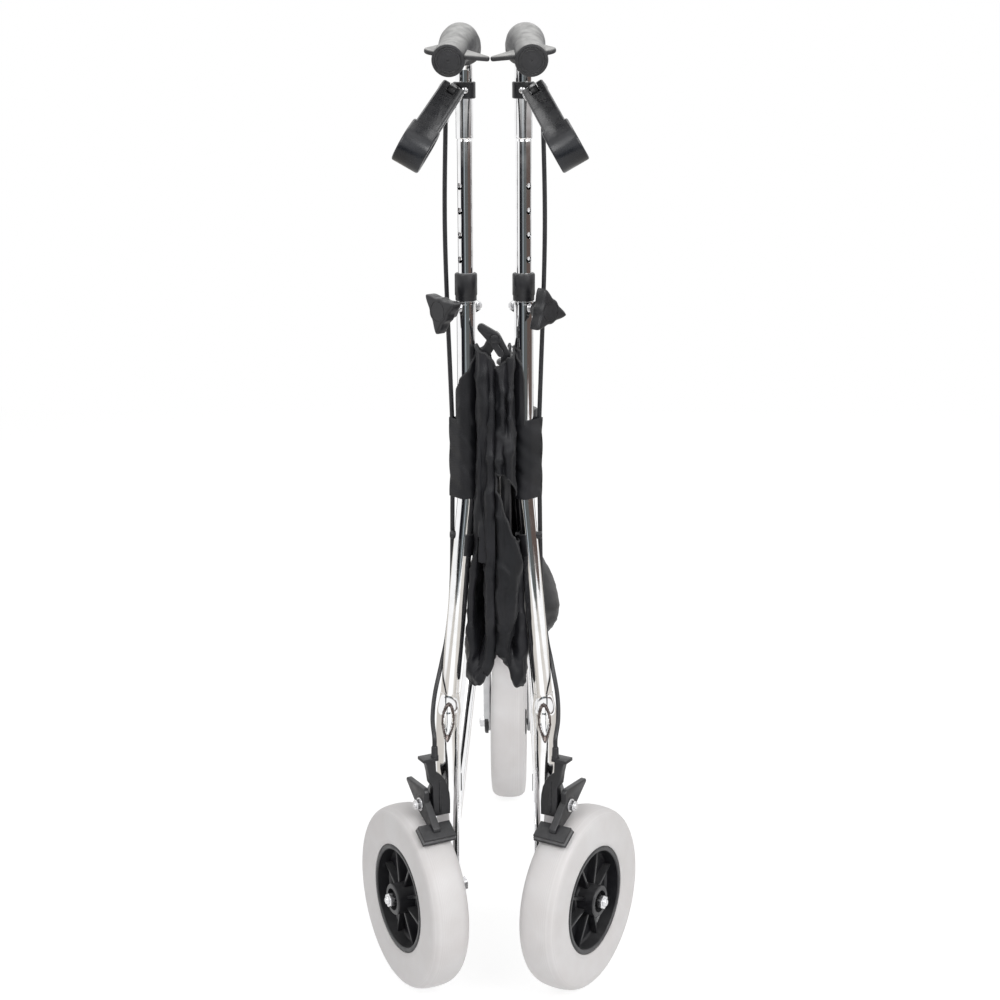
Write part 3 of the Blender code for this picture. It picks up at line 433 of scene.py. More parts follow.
def revolve(name, profile, matrix, steps=32, closed=False, bevel=0.0):
    # Turned shape: profile of (radius, height) from the top down its outer side
    shape = bmesh.new()
    rings = [[shape.verts.new((radius * x, radius * y, height)) for x, y in (circle(steps) if radius else [(0, 0)])]
             for radius, height in profile]
    pairs = list(zip(rings, rings[1:]))
    if closed:
        pairs.append((rings[-1], rings[0]))
    for above, below in pairs:
        for i in range(steps):
            k = (i + 1) % steps
            corners = [above[i % len(above)], above[k % len(above)], below[k % len(below)], below[i % len(below)]]
            unique = list(dict.fromkeys(corners))
            if len(unique) > 2:
                shape.faces.new(list(reversed(unique)))
    obj = finishShape(shape, name, matrix)
    if bevel:
        soften(obj, bevel)
    return smooth(obj)


def turned(name, profile, matrix, finish, body, *nodes, steps=32, closed=False, bevel=0.0):
    return dress(revolve(name, profile, matrix, steps, closed, bevel), finish, body, *nodes)


def cutter(matrix, radius, high, low, steps=32, inner=0.0):
    # Round cutter, left open in the middle where it cuts a groove
    return revolve("cutter", [(inner, high), (radius, high), (radius, low), (inner, low)], matrix, steps, inner > 0)


def ringProfile(outer, inner, high, low, edge):
    # Short tube with chamfered ends
    return [(outer - edge, high), (outer, high - edge), (outer, low + edge), (outer - edge, low), (inner, low),
            (inner, high)]


def sweep(name, path, radii, sides=40, wall=0.0):
    # Round tube along world points by a frame carried along the path
    points = [Vector(p) for p in path]
    if isinstance(radii, (int, float)):
        radii = [radii] * len(points)
    shape = bmesh.new()
    tangent = (points[1] - points[0]).normalized()
    across = tangent.orthogonal().normalized()
    rings = []
    for i, point in enumerate(points):
        ahead = points[min(i + 1, len(points) - 1)] - points[max(i - 1, 0)]
        if ahead.length > 1e-9:
            newTangent = ahead.normalized()
            across = tangent.rotation_difference(newTangent) @ across
            tangent = newTangent
        side = tangent.cross(across)
        rings.append([shape.verts.new(point + (across * x + side * y) * radii[i]) for x, y in circle(sides)])
    stitch(shape, rings, closed=True)
    if not wall:
        shape.faces.new(list(reversed(rings[0])))
        shape.faces.new(rings[-1])
    tube = finishShape(shape, name)
    if wall:
        applyAll(modify(tube, "SOLIDIFY", thickness=wall, offset=-1.0))
    return smooth(tube)


def box(name, size, matrix, bevel=0.0):
    shape = bmesh.new()
    bmesh.ops.create_cube(shape, size=1.0)
    bmesh.ops.scale(shape, vec=Vector(size), verts=shape.verts)
    obj = finishShape(shape, name, matrix, outward=False)
    if bevel:
        soften(obj, bevel)
    return smooth(obj)


def leaveAngle(first, second):
    run = Vector((second[0] - first[0], second[1] - first[1]))
    return atan2(run.y, run.x) - pi / 2 + asin((first[2] - second[2]) / run.length)


def hullOutline(circles, arcPoints=20):
    # Outline drawn tight round circles (x, y, r), listed anticlockwise
    outline = []
    for i, here in enumerate(circles):
        start, end = leaveAngle(circles[i - 1], here), leaveAngle(here, circles[(i + 1) % len(circles)])
        while end < start:
            end += 2 * pi
        for k in range(arcPoints):
            angle = start + (end - start) * k / (arcPoints - 1)
            outline.append((here[0] + here[2] * cos(angle), here[1] + here[2] * sin(angle)))
    return outline


def plate(name, outlines, thickness, matrix, rim, rings=3):
    # Flat piece with rounded rims from closed outlines
    curve = bpy.data.curves.new(name, "CURVE")
    curve.dimensions, curve.fill_mode = "2D", "BOTH"
    curve.extrude, curve.offset = thickness / 2 - rim, -rim
    curve.bevel_depth, curve.bevel_resolution = rim, rings
    for outline in outlines:
        spline = curve.splines.new("POLY")
        spline.points.add(len(outline) - 1)
        for point, (x, y) in zip(spline.points, outline):
            point.co = (x, y, 0.0, 1.0)
        spline.use_cyclic_u = True
    flat = link(name + "_outline", curve, matrix)
    mesh = evaluated(flat)
    bpy.data.objects.remove(flat)
    shape = bmesh.new()
    shape.from_mesh(mesh)
    bmesh.ops.remove_doubles(shape, verts=shape.verts, dist=0.00001)
    return smooth(finishShape(shape, name, matrix, mesh))


def refine(node, finish, body, bevel=0.0004):
    # A carried-over solid's own shape with softened edges
    mesh = frame["nodes"][node].data.copy()
    shape = bmesh.new()
    shape.from_mesh(mesh)
    bmesh.ops.remove_doubles(shape, verts=shape.verts, dist=0.00002)
    bmesh.ops.dissolve_limit(shape, angle_limit=radians(1.0), verts=shape.verts, edges=shape.edges)
    obj = finishShape(shape, node + "_fine", mesh=mesh, outward=False)
    return dress(smooth(soften(obj, bevel, 38.0), 38.0), finish, body, node)


def hexNut(name, matrix, low, high, across, body):
    r = across / sqrt(3)
    nut = revolve(name, [(0, high), (r * 0.94, high), (r, high - 0.0010), (r, low), (0, low)], matrix, 6)
    soften(nut, 0.0003, 20.0)
    nut.data.shade_flat()
    dress(nut, "zinc", body)


def between(a, b, c, d, t):
    # Smooth curve from b to c, with a before them and d after
    return 0.5 * (2 * b + (c - a) * t + (2 * a - 5 * b + 4 * c - d) * t * t + (3 * b - a - 3 * c + d) * t ** 3)


def smoothPath(points, perSpan):
    padded = [points[0] * 2 - points[1]] + points + [points[-1] * 2 - points[-2]]
    path = [between(*padded[i - 1:i + 3], k / perSpan) for i in range(1, len(padded) - 2) for k in range(perSpan)]
    return path + [points[-1]]


def ease(low, high, value):
    t = min(max((value - low) / (high - low), 0.0), 1.0)
    return t * t * (3 - 2 * t)


# Side frames
frameTube = {"radius": 0.0095, "legRadius": 0.0127, "mouth": 0.0099, "wall": 0.0012, "top": 0.7095, "bend": 0.515,
             "legTop": 0.305, "swage": 0.262, "foot": 0.082, "x": 0.028, "y": 0.039, "stations": 110, "relax": 14}
legDent = {"z": 0.2765, "half": 0.0205, "wide": 0.0068, "deep": 0.0030, "rim": 0.66, "step": 0.0007}
stays = {"radius": 0.0085, "bead": 0.0011, "lowBead": 0.0125, "highBead": 0.0098,
         "lower": {"leg": 0.120, "front": 0.400, "bore": 0.0115},
         "upper": {"leg": 0.622, "front": 0.538, "bore": 0.0089}}


def legCenter(side, z):
    x, y = frameTube["x"], frameTube["y"]
    spots = [(axleZ, 0.0500, 0.0194), (frameTube["swage"], 0.0497, 0.0278), (frameTube["legTop"], 0.0475, 0.0300),
             (frameTube["bend"], x, y), (frameTube["top"], x, y)]
    for (z0, x0, y0), (z1, x1, y1) in zip(spots, spots[1:]):
        if z <= z1:
            break
    t = (z - z0) / (z1 - z0)
    return at(side * (x0 + (x1 - x0) * t), y0 + (y1 - y0) * t, z)


def relaxPath(points, passes):
    # Corners of a tube's line become bends
    for _ in range(passes):
        points = [points[0]] + [(a + b * 2 + c) / 4 for a, b, c in zip(points, points[1:], points[2:])] + [points[-1]]
    return points


def makeUpright(side, tag):
    top, low, count = frameTube["top"], frameTube["swage"] + 0.006, frameTube["stations"]
    path = [legCenter(side, top + (low - top) * i / count) for i in range(count + 1)]
    tube = sweep("uprightTube_" + tag, relaxPath(path, frameTube["relax"]), frameTube["radius"], 48, frameTube["wall"])
    dress(tube, "chrome", "frame_" + tag, "upright_" + tag)
    place = basis(legCenter(side, clampKnob["height"]), knobAxis(side), up)
    turned("clampNut_" + tag, clampKnob["nut"], place, "zinc", "frame_" + tag, steps=6, bevel=0.0004)


def dentReach(side, spot):
    # 0 at the middle of the pressed oval on the rear face, 1 at its rim; it narrows to a point below
    out = spot - legCenter(side, min(max(spot.z, frameTube["foot"]), frameTube["legTop"]))
    rise = (spot.z - legDent["z"]) / legDent["half"]
    wide = legDent["wide"] * (1.0 if rise > 0 else max(1 + 0.50 * rise, 0.3))
    return (sqrt(rise * rise + (out.x / wide) ** 2) if out.y < 0 else 9.0), out


def makeLeg(side, tag):
    top, foot, mouth, step = frameTube["legTop"], frameTube["foot"], frameTube["mouth"], legDent["step"]
    dentLow = legDent["z"] - legDent["half"] - 0.001
    heights = [top - step * i for i in range(int((top - dentLow) / step) + 1)]
    heights += [heights[-1] + (foot - heights[-1]) * i / 56 for i in range(1, 57)]
    radii = [mouth + (frameTube["legRadius"] - mouth) * ease(top, frameTube["swage"] + 0.020, z) for z in heights]
    leg = sweep("legTube_" + tag, [legCenter(side, z) for z in heights], radii, 112, frameTube["wall"])
    for vertex in leg.data.vertices:
        reach, out = dentReach(side, vertex.co)
        if reach < 1:
            away = Vector((out.x, out.y, 0)).normalized() * legDent["deep"]
            vertex.co -= away * ease(1.0, legDent["rim"], reach)
    dress(leg, "chrome", "frame_" + tag, "rear_leg_" + tag)
    # The rim faces of the pressed oval get the dark chrome: grime plus painted shade
    leg.data.materials.append(finishes["chromeGrimeAndPaintedShade"][1])
    for face in leg.data.polygons:
        if legDent["rim"] + 0.02 < dentReach(side, face.center)[0] < 1.03:
            face.material_index = 1


def makeStay(side, tag, level):
    radius, bead, ends = stays["radius"], stays["bead"], stays[level]
    start, end = legCenter(side, ends["leg"]), at(side * 0.022, 0.449, ends["front"])
    run = (end - start).normalized()
    name = level + "Stay_" + tag
    stay = sweep(name, [start + (end - start) * i / 12 for i in range(13)], radius)
    # Its end is cut to the wall of the tube that it is welded to
    booleans(stay, "DIFFERENCE", cutter(basis(start, up, run), ends["bore"], 0.03, -0.03, 40))
    dress(stay, "chrome", "frame_" + tag, level + "_stay_" + tag)
    ring = [(radius + 0.0002 + bead * x, bead * y) for x, y in circle(10)][::-1]
    for spot, big in ((start + run * stays["lowBead"], "_lowBead"), (end - run * stays["highBead"], "_highBead")):
        turned(name + big, ring, basis(spot, run, up), "chrome", "frame_" + tag, steps=40, closed=True)


def makeTube(name, node, radius, edge, body, steps):
    # Straight upright tube in the place of its solid
    low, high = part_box(node)
    centre = (low + high) / 2
    turned(name, ringProfile(radius, radius - frameTube["wall"], high.z, low.z, edge),
           Matrix.Translation((centre.x, centre.y, 0)), "chrome", body, node, steps=steps, closed=True)


def makeSideTubes(side, tag):
    makeStay(side, tag, "lower")
    makeStay(side, tag, "upper")
    makeTube("hingeTube_" + tag, "hinge_tube_" + tag, 0.0095, 0.0006, "frame_" + tag, 48)


# Clamp knobs and collars
clampKnob = {"height": 0.698, "reach": 0.031, "waist": 0.0130, "corner": 0.0245, "draw": 0.0014, "thick": 0.013,
             "turn": 45.0, "start": {"right": 15.0, "left": 52.0},
             "nut": [(0, -0.0094), (0.0050, -0.0094), (0.0064, -0.0104), (0.0064, -0.0138), (0.0058, -0.0146),
                     (0.0040, -0.0150), (0.0036, -0.0185), (0, -0.0185)],
             "boss": [(0, 0.031), (0.0098, 0.031), (0.0100, 0.0245), (0.0082, 0.0175), (0.0076, 0.0168), (0, 0.0168)],
             "screw": [(0, 0.0172), (0.0040, 0.0172), (0.0044, 0.0166), (0.0044, 0.0140), (0.0038, 0.0134),
                       (0.0038, 0.0084), (0, 0.0084)]}


def knobAxis(side):
    turn = radians(clampKnob["turn"])
    return Vector((side * sin(turn), -cos(turn), 0))


def makeKnob(side, tag):
    along = basis(legCenter(side, clampKnob["height"]), knobAxis(side), up)
    start = radians(clampKnob["start"][tag])
    outline = []
    for i in range(120):
        angle = 2 * pi * i / 120
        # Straight sides that draw in a little, with rounded corners
        off = abs((angle - start + pi / 3) % (2 * pi / 3) - pi / 3)
        flat = clampKnob["waist"] / cos(pi / 3 - off) - clampKnob["draw"] * sin(pi * off / (pi / 3)) ** 2
        r = (flat ** -9 + clampKnob["corner"] ** -9) ** (-1 / 9)
        outline.append((r * cos(angle), r * sin(angle)))
    head = plate("knobHead_" + tag, [outline], clampKnob["thick"], shift(along, 0, 0, clampKnob["reach"]), 0.0026, 4)
    booleans(head, "UNION", revolve("boss", clampKnob["boss"], along, 48))
    booleans(head, "DIFFERENCE", cutter(along, 0.0098, 0.0385, 0.0370, 48, 0.0092))
    dress(head, "plastic", "knob_body_" + tag, "knob_" + tag)
    turned("knobScrew_" + tag, clampKnob["screw"], along, "zinc", "knob_body_" + tag)


def makeCollar(side, tag):
    low, high = (corner.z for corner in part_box("collar_" + tag))
    place = Matrix.Translation(at(side * frameTube["x"], frameTube["y"], 0))
    seat = frameTube["top"]
    profile = [(0.0081, high), (0.0098, high), (0.0106, high - 0.0005), (0.0110, high - 0.0016),
               (0.0110, seat + 0.0012), (0.0106, seat + 0.0006), (0.0104, seat), (0.0104, low + 0.0006),
               (0.0101, low), (0.0097, low), (0.0097, seat), (0.0081, seat)]
    turned("collar_fine_" + tag, profile, place, "plastic", "frame_" + tag, "collar_" + tag, steps=56, closed=True)
    ring = [(0.0098, low - 0.0004), (0.0102, low - 0.0008), (0.0102, low - 0.0030), (0.0098, low - 0.0034),
            (0.0095, low - 0.0034), (0.0095, low - 0.0004)]
    turned("collarRing_" + tag, ring, place, "chrome", "frame_" + tag, steps=56, closed=True)


# Handle tubes
handle = {"radius": 0.0078, "topRadius": 0.0087, "bottom": 0.635, "step": 0.8606, "pitch": 0.0234, "holes": 6,
          "bendStart": 0.9202, "bendRadius": 0.030, "drop": 11.3, "endY": -0.065, "out": 0.0095, "hole": 0.0033}
# Grip radii round the bend, by angle, and along the bar, by distance behind the axle line; then the palm wing
grip = {"bend": [(26, 0.0100), (28, 0.0118), (33, 0.0150), (40, 0.0168), (50, 0.0177), (64, 0.0182), (84, 0.0182)],
        "bar": [(0.000, 0.0176), (-0.010, 0.0168), (-0.020, 0.0158), (-0.032, 0.0150), (-0.044, 0.0149),
                (-0.060, 0.0152), (-0.0630, 0.0152), (-0.0646, 0.0147), (-0.065, 0.0140)],
        "wing": [(-0.0330, -0.012, 0.0028), (0.0, -0.0140, 0.0085), (0.0160, -0.0130, 0.0075), (0.004, 0.004, 0.0100)],
        "wingThick": 0.0046, "lean": 8.0, "grooves": ((0.0116, 0.0123, 0.0008), (0.0094, 0.0099, 0.0005)),
        "dot": [(0, 0.0010), (0.0012, 0.0010), (0.0010, -0.0008), (0, -0.0008)]}


def handlePoint(side, turn=None, rearY=None):
    # On the bend by its angle, or on the bar behind it
    drop = radians(handle["drop"])
    angle = pi / 2 + drop if turn is None else turn
    y = frameTube["y"] - handle["bendRadius"] * (1 - cos(angle))
    z = handle["bendStart"] + handle["bendRadius"] * sin(angle)
    if turn is None:
        y, z = rearY, z - (y - rearY) * sin(drop) / cos(drop)
    x = frameTube["x"] + handle["out"] * (frameTube["y"] - y) / (frameTube["y"] - handle["endY"])
    return at(side * x, y, z)


def makeHandleTube(side, tag):
    step, thin, wide, notch = handle["step"], handle["radius"], handle["topRadius"], 0.0003
    stations = [(handle["bottom"], thin), (0.70, thin), (0.78, thin), (step - 0.0060, thin), (step - 0.0032, thin),
                (step - 0.0022, thin), (step - 0.0018, thin - notch), (step - 0.0008, thin - notch),
                (step - 0.0006, wide - notch), (step + 0.0002, wide), (step + 0.0012, wide), (step + 0.0040, wide),
                (0.885, wide), (0.905, wide)]
    path = [at(side * frameTube["x"], frameTube["y"], z) for z, r in stations]
    path += [handlePoint(side, turn=radians(98) * i / 17) for i in range(1, 18)]
    path += [handlePoint(side, rearY=y) for y in (-0.010, -0.030, -0.055)]
    radii = [r for z, r in stations] + [wide] * (len(path) - len(stations))
    tube = sweep("handleTube_" + tag, path, radii, 48, frameTube["wall"])
    holes = [at(side * frameTube["x"], frameTube["y"], clampKnob["height"] + i * handle["pitch"])
             for i in range(handle["holes"])]
    booleans(tube, "DIFFERENCE", *[cutter(basis(spot, knobAxis(side), up), handle["hole"], 0.02, -0.02, 24)
                                   for spot in holes])
    dress(tube, "chrome", "handle_" + tag, "handle_tube_" + tag)


def makeGrip(side, tag):
    path = [handlePoint(side, turn=radians(angle)) for angle, r in grip["bend"]]
    path += [handlePoint(side, rearY=y) for y, r in grip["bar"]]
    body = sweep("grip_fine_" + tag, path, [r for where, r in grip["bend"] + grip["bar"]], 64)
    lean = radians(grip["lean"])
    wingX = Vector((side * cos(lean), 0.0, sin(lean)))
    wingZ = Vector((-side * sin(lean), -sin(radians(handle["drop"])), 1.0))
    place = basis(handlePoint(side, rearY=-0.044) + up * 0.0042, wingZ, wingX)
    spots = [(x, y * side, r) for x, y, r in grip["wing"]]
    if side < 0:
        spots[1:] = spots[:0:-1]
    booleans(body, "UNION", plate("wing", [hullOutline(spots)], grip["wingThick"], place, 0.0018, 4))
    end = handlePoint(side, rearY=-0.065)
    face = basis(end, end - handlePoint(side, rearY=-0.05), up)
    grooves = [cutter(face, outer, 0.0010, -deep, 64, inner) for inner, outer, deep in grip["grooves"]]
    booleans(body, "DIFFERENCE", *grooves)
    booleans(body, "DIFFERENCE", revolve("dot", grip["dot"], face, 24))
    dress(body, "rubber", "handle_" + tag, "grip_" + tag)


# Brake levers and their housings; reach is from the pivot to the middle of the loop's round end
lever = {"width": 0.0225, "roll": -24.0, "pivot": (0.0395, 0.0165, 0.9050), "end": (0.0745, -0.0755, 0.8500),
         "lug": 0.0080, "cuff": 0.0272, "reach": 0.0957,
         "pin": [(0, 0.0122), (0.0030, 0.0122), (0.0036, 0.0116), (0.0036, 0.0108), (0.0025, 0.0108)]}
housing = {"radius": 0.0107, "low": 0.8975, "high": 0.9130, "edge": 0.0007, "stop": 0.0040}


def leverFrame(side):
    pivot, end = beside(side, lever["pivot"]), beside(side, lever["end"])
    along = (end - pivot).normalized()
    flat = Vector((side, 0, 0)) - along * along.x * side
    roll = radians(lever["roll"])
    outward = flat.normalized() * cos(roll) + along.cross(flat).normalized() * sin(roll) * -side
    return basis(pivot, outward * -side, along)


def makeLever(side, tag):
    place, reach = leverFrame(side), lever["reach"]
    outer = hullOutline([(0, 0, 0.0070), (reach, 0, 0.0175)], 28)
    inner = hullOutline([(0.0400, 0, 0.0030), (reach, 0, 0.0095)], 24)
    loop = plate("lever_fine_" + tag, [outer, inner], lever["width"], place, 0.0022, 4)
    booleans(loop, "DIFFERENCE", box("fork", (0.034, 0.030, lever["lug"] + 0.0006), shift(place, -0.003, 0, 0)))
    # The loop's end is a wider moulding than the straps that lead to it
    rims = [hullOutline([(0.0840, 0, 0.0166), (reach, 0, 0.0181)], 28),
            hullOutline([(0.0790, 0, 0.0078), (reach, 0, 0.0093)], 24)]
    booleans(loop, "UNION", plate("cuff", rims, lever["cuff"], place, 0.0018))
    soften(loop, 0.0005, 50.0)
    dress(smooth(loop), "glossPlastic", "lever_" + tag, "brake_lever_" + tag)
    turned("leverPin_" + tag, mirrored(lever["pin"]), place, "zinc", "lever_" + tag)


def makeHousing(side, tag):
    # Slim clamp on the handle tube, with the lug that the lever swings on and the stop for the cable
    tube = at(side * frameTube["x"], frameTube["y"], 0)
    r, low, high, bore = housing["radius"], housing["low"], housing["high"], handle["topRadius"] + 0.0001
    clamp = revolve("leverHousing_fine_" + tag, ringProfile(r, bore, high, low, housing["edge"]),
                    Matrix.Translation(tube), 56, closed=True)
    place = leverFrame(side)
    toward = place.inverted() @ (tube + up * (handle["bendStart"] - 0.0202))
    lug = plate("lug", [hullOutline([(toward.x * 0.45, toward.y * 0.45, 0.0066), (0, 0, 0.0058)])], lever["lug"],
                place, 0.0008)
    top, wide = beside(side, cable["top"]), housing["stop"]
    stop = revolve("stop", [(0, 0.0170), (wide - 0.0006, 0.0170), (wide, 0.0164), (wide, 0.0006), (wide - 0.0006, 0),
                            (0, 0)], Matrix.Translation(top))
    reach = Vector((top.x - tube.x, top.y - tube.y, 0))
    arm = box("arm", (0.0125, 0.0060, 0.0090), basis(tube + reach * 0.52 + up * (top.z + 0.0110), up, reach), 0.0008)
    booleans(clamp, "UNION", lug, stop, arm)
    booleans(clamp, "DIFFERENCE", cutter(Matrix.Translation(tube), bore, high + 0.01, low - 0.02, 56))
    dress(clamp, "plastic", "handle_" + tag, "lever_housing_" + tag)
    screw = [(0, r + 0.0018), (0.0020, r + 0.0017), (0.0030, r + 0.0010), (0.0032, r - 0.0006), (0, r - 0.0006)]
    face = basis(tube + up * 0.9055, Vector((-side * 0.10, -1, 0)), up)
    turned("housingScrew_" + tag, screw, face, "zinc", "handle_" + tag)


# Brakes: places are set out level from the rear wheel's centre, rearward and along its axle
toe = radians(29.0)
brake = {"pivotA": 0.0237, "pivotZ": 0.2040, "shoeAngle": 30.0, "clear": 0.0021, "topZ": 0.2560,
         "outline": [(0.0005, 0.2530), (-0.0105, 0.2530), (-0.0110, 0.2400), (-0.0160, 0.2360), (-0.0205, 0.2300),
                     (-0.0238, 0.2225), (-0.0256, 0.2140), (-0.0262, 0.2060), (-0.0260, 0.1925), (-0.0070, 0.1925),
                     (-0.0070, 0.2240), (-0.0040, 0.2290), (-0.0025, 0.2400)],
         "ferrule": [(0.0026, 0.0110), (0.0032, 0.0100), (0.0034, 0.0020), (0.0040, 0.0010), (0.0040, -0.0010),
                     (0, -0.0010), (0, 0.0110)],
         "bolt": [(0, 0.0092), (0.0028, 0.0092), (0.0033, 0.0086), (0.0033, 0.0080), (0.0033, -0.0190), (0, -0.0190)],
         "washer": [(0.0034, 0.0034), (0.0066, 0.0034), (0.0068, 0.0030), (0.0066, 0.0026), (0.0034, 0.0026)]}


def wheelAxis(side):
    return Vector((side * cos(toe), -sin(toe), 0))


def brakePoint(side, rearward, outward, z):
    rolling = Vector((-side * sin(toe), -cos(toe), 0))
    point = Vector((side * abs(wheelX), axleY, 0)) + rolling * rearward + wheelAxis(side) * outward
    return Vector((point.x, point.y, z))


def brakeAxes(side):
    here = brakePoint(side, 0, 0, 0)
    return brakePoint(side, 0, 1, 0) - here, brakePoint(side, 1, 0, 0) - here


def brakePivot(side):
    return brakePoint(side, brake["pivotA"], 0, brake["pivotZ"])


def cableStop(side):
    return brakePoint(side, 0.0330, -0.0100, brake["topZ"])


def makeBracket(side, tag):
    # Moulding on the outer half of the leg: it holds the cable above and the arm's bolt below
    body, axle = "frame_" + tag, brakeAxes(side)[0]
    leg, end = legCenter(side, 0.206), brakePoint(side, brake["pivotA"], -0.0125, 0.206)
    arm = plate("bracketArm_" + tag, [hullOutline([(leg.x, leg.y, 0.0152), (end.x, end.y, 0.0078)], 24)], 0.0200,
                Matrix.Translation((0, 0, 0.206)), 0.0012)
    inner = box("inner", (0.0300, 0.0400, 0.05), Matrix.Translation((leg.x - side * 0.0130, leg.y - 0.0130, leg.z)))
    booleans(arm, "DIFFERENCE", cutter(Matrix.Translation(leg), 0.0128, 0.03, -0.03, 64), inner)
    face = basis(brakePoint(side, 0.0305, 0, 0), axle.cross(up), axle)
    bracket = plate("bracketBody_" + tag, [brake["outline"]], 0.0090, face, 0.0012)
    cap = box("cap", (0.0170, 0.0036, 0.0140), shift(face, -0.0040, brake["topZ"] - 0.0018, 0), 0.0007)
    booleans(bracket, "UNION", cap)
    booleans(bracket, "UNION", box("rib", (0.0030, 0.0340, 0.0112), shift(face, -0.0150, 0.2130, 0), 0.0008))
    dress(arm, "plastic", body)
    dress(bracket, "plastic", body, "brake_bracket_" + tag)
    turned("cableFerrule_" + tag, brake["ferrule"], Matrix.Translation(cableStop(side)), "plastic", body)
    pivot = basis(brakePivot(side), axle, up)
    turned("brakeBolt_" + tag, brake["bolt"], pivot, "zinc", body)
    turned("brakeWasher_" + tag, brake["washer"], pivot, "zinc", body, steps=40, closed=True)
    hexNut("brakeNut_" + tag, pivot, 0.0034, 0.0080, 0.0100, body)


def makeBrakeArm(side, tag):
    rolling = brakeAxes(side)[1]
    place = basis(brakePivot(side), rolling.cross(up), rolling)
    angle, reach = radians(brake["shoeAngle"]), wheel["radius"] + brake["clear"] + 0.0040
    shoeX, shoeY = reach * sin(angle) - brake["pivotA"], reach * cos(angle) + axleZ - brake["pivotZ"]
    hub = (0.0, 0.0, 0.0098)
    arm = plate("brakeArm_fine_" + tag, [hullOutline([hub, (0.0040, 0.0125, 0.0062), (-0.0310, 0.0150, 0.0026)], 16)],
                0.0056, shift(place, 0, 0, side * 0.0006), 0.0010)
    limb = plate("limb", [hullOutline([hub, (shoeX, shoeY + 0.004, 0.0046)])], 0.0078,
                 shift(place, 0, 0, side * 0.0014), 0.0010)
    facing = shift(place, shoeX, shoeY, side * 0.0026) @ Matrix.Rotation(-angle, 4, "Z")
    booleans(arm, "UNION", limb)
    booleans(arm, "UNION", box("holder", (0.0190, 0.0034, 0.0350), shift(facing, 0, 0.0027, 0), 0.0008))
    booleans(arm, "DIFFERENCE", cutter(place, 0.0035, 0.02, -0.02))
    dress(arm, "plastic", "brake_" + tag, "brake_arm_" + tag)
    # The grey band stands in for the highlight along the shoe: a painted highlight
    band = box("shoeBand_" + tag, (0.0196, 0.0028, 0.0358), shift(facing, 0, -0.0003, 0), 0.0004)
    dress(band, "paintedHighlightRubber", "brake_" + tag)
    pad = box("shoePad_" + tag, (0.0206, 0.0026, 0.0366), shift(facing, 0, -0.0027, 0), 0.0007)
    dress(pad, "plastic", "brake_" + tag)


# Cables: the black outer casing of each brake cable, from the lever down to the brake
cable = {"radius": 0.00225, "top": (0.0462, 0.0470, 0.8880), "middle": (0.0483, 0.0475, 0.7640),
         "join": (0.0432, 0.0455, 0.588), "slide": 0.117,
         "route": [(0.0428, 0.0452, 0.548), (0.0436, 0.0452, 0.505), (0.0452, 0.0452, 0.4200), (0.0500, 0.0430, 0.3650),
                   (0.0560, 0.0370, 0.3340), (0.0618, 0.0160, 0.3080), (0.0628, -0.0090, 0.2910)],
         "barrel": [(0, 0), (0.0030, 0), (0.0034, -0.001), (0.0034, -0.010), (0.0028, -0.011), (0.0028, -0.014),
                    (0, -0.014)]}


def makeCables(side, tag):
    top, middle, join = (beside(side, cable[key]) for key in ("top", "middle", "join"))
    upper = sweep("cableUpper_" + tag, smoothPath([top + up * 0.004, middle, join], 16), cable["radius"], 20)
    dress(upper, "plastic", "frame_" + tag, "cable_upper_" + tag)
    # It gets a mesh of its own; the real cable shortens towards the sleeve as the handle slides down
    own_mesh(upper)
    stop = cableStop(side)
    route = [join] + [beside(side, spot) for spot in cable["route"]] + [stop + up * 0.0200, stop + up * 0.0090]
    lower = sweep("cableLower_" + tag, smoothPath(route, 12), cable["radius"], 20)
    dress(lower, "plastic", "frame_" + tag, "cable_lower_" + tag)
    turned("cableBarrel_" + tag, cable["barrel"], Matrix.Translation(top + up * 0.0005), "zinc", "handle_" + tag,
           steps=24)


# Wheels: the upper half of the hub's web; rear and front are the top and foot of the hub's boss and its recess
wheel = {"radius": 0.095, "width": 0.0425, "ribs": 8, "nut": 0.0130,
         "web": [(0.0162, 0.0060), (0.0180, 0.0048), (0.0480, 0.0040), (0.0496, 0.0060), (0.0508, 0.0180),
                 (0.0516, 0.0190), (0.0540, 0.0192), (0.0560, 0.0180)],
         "rear": (0.0245, -0.0235, 0.0055), "front": (0.0218, -0.0218, 0.0),
         "cap": [(0.0118, 0.0312), (0.0142, 0.0306), (0.0150, 0.0294), (0.0150, 0.0266), (0.0043, 0.0266),
                 (0.0043, 0.0312)]}


def tyreProfile():
    half = wheel["width"] / 2
    outer = [(0.0563, 0.0186), (0.0600, 0.0206), (0.0650, half), (0.0760, half + 0.0001), (0.0850, half - 0.0004),
             (0.0890, 0.0196), (0.0920, 0.0166), (0.0938, 0.0125), (0.0947, 0.0070), (wheel["radius"], 0.0)]
    fine = []
    for (r0, h0), (r1, h1) in zip(outer, outer[1:]):
        fine += [(r0 + (r1 - r0) * k / 3, h0 + (h1 - h0) * k / 3) for k in range(3)]
    for _ in range(2):
        fine = [fine[0]] + [tuple((a[i] + 2 * b[i] + c[i]) / 4 for i in (0, 1))
                            for a, b, c in zip(fine, fine[1:], fine[2:])] + [fine[-1]]
    return fine + [(wheel["radius"], 0.0)] + [(r, -h) for r, h in reversed(fine)]


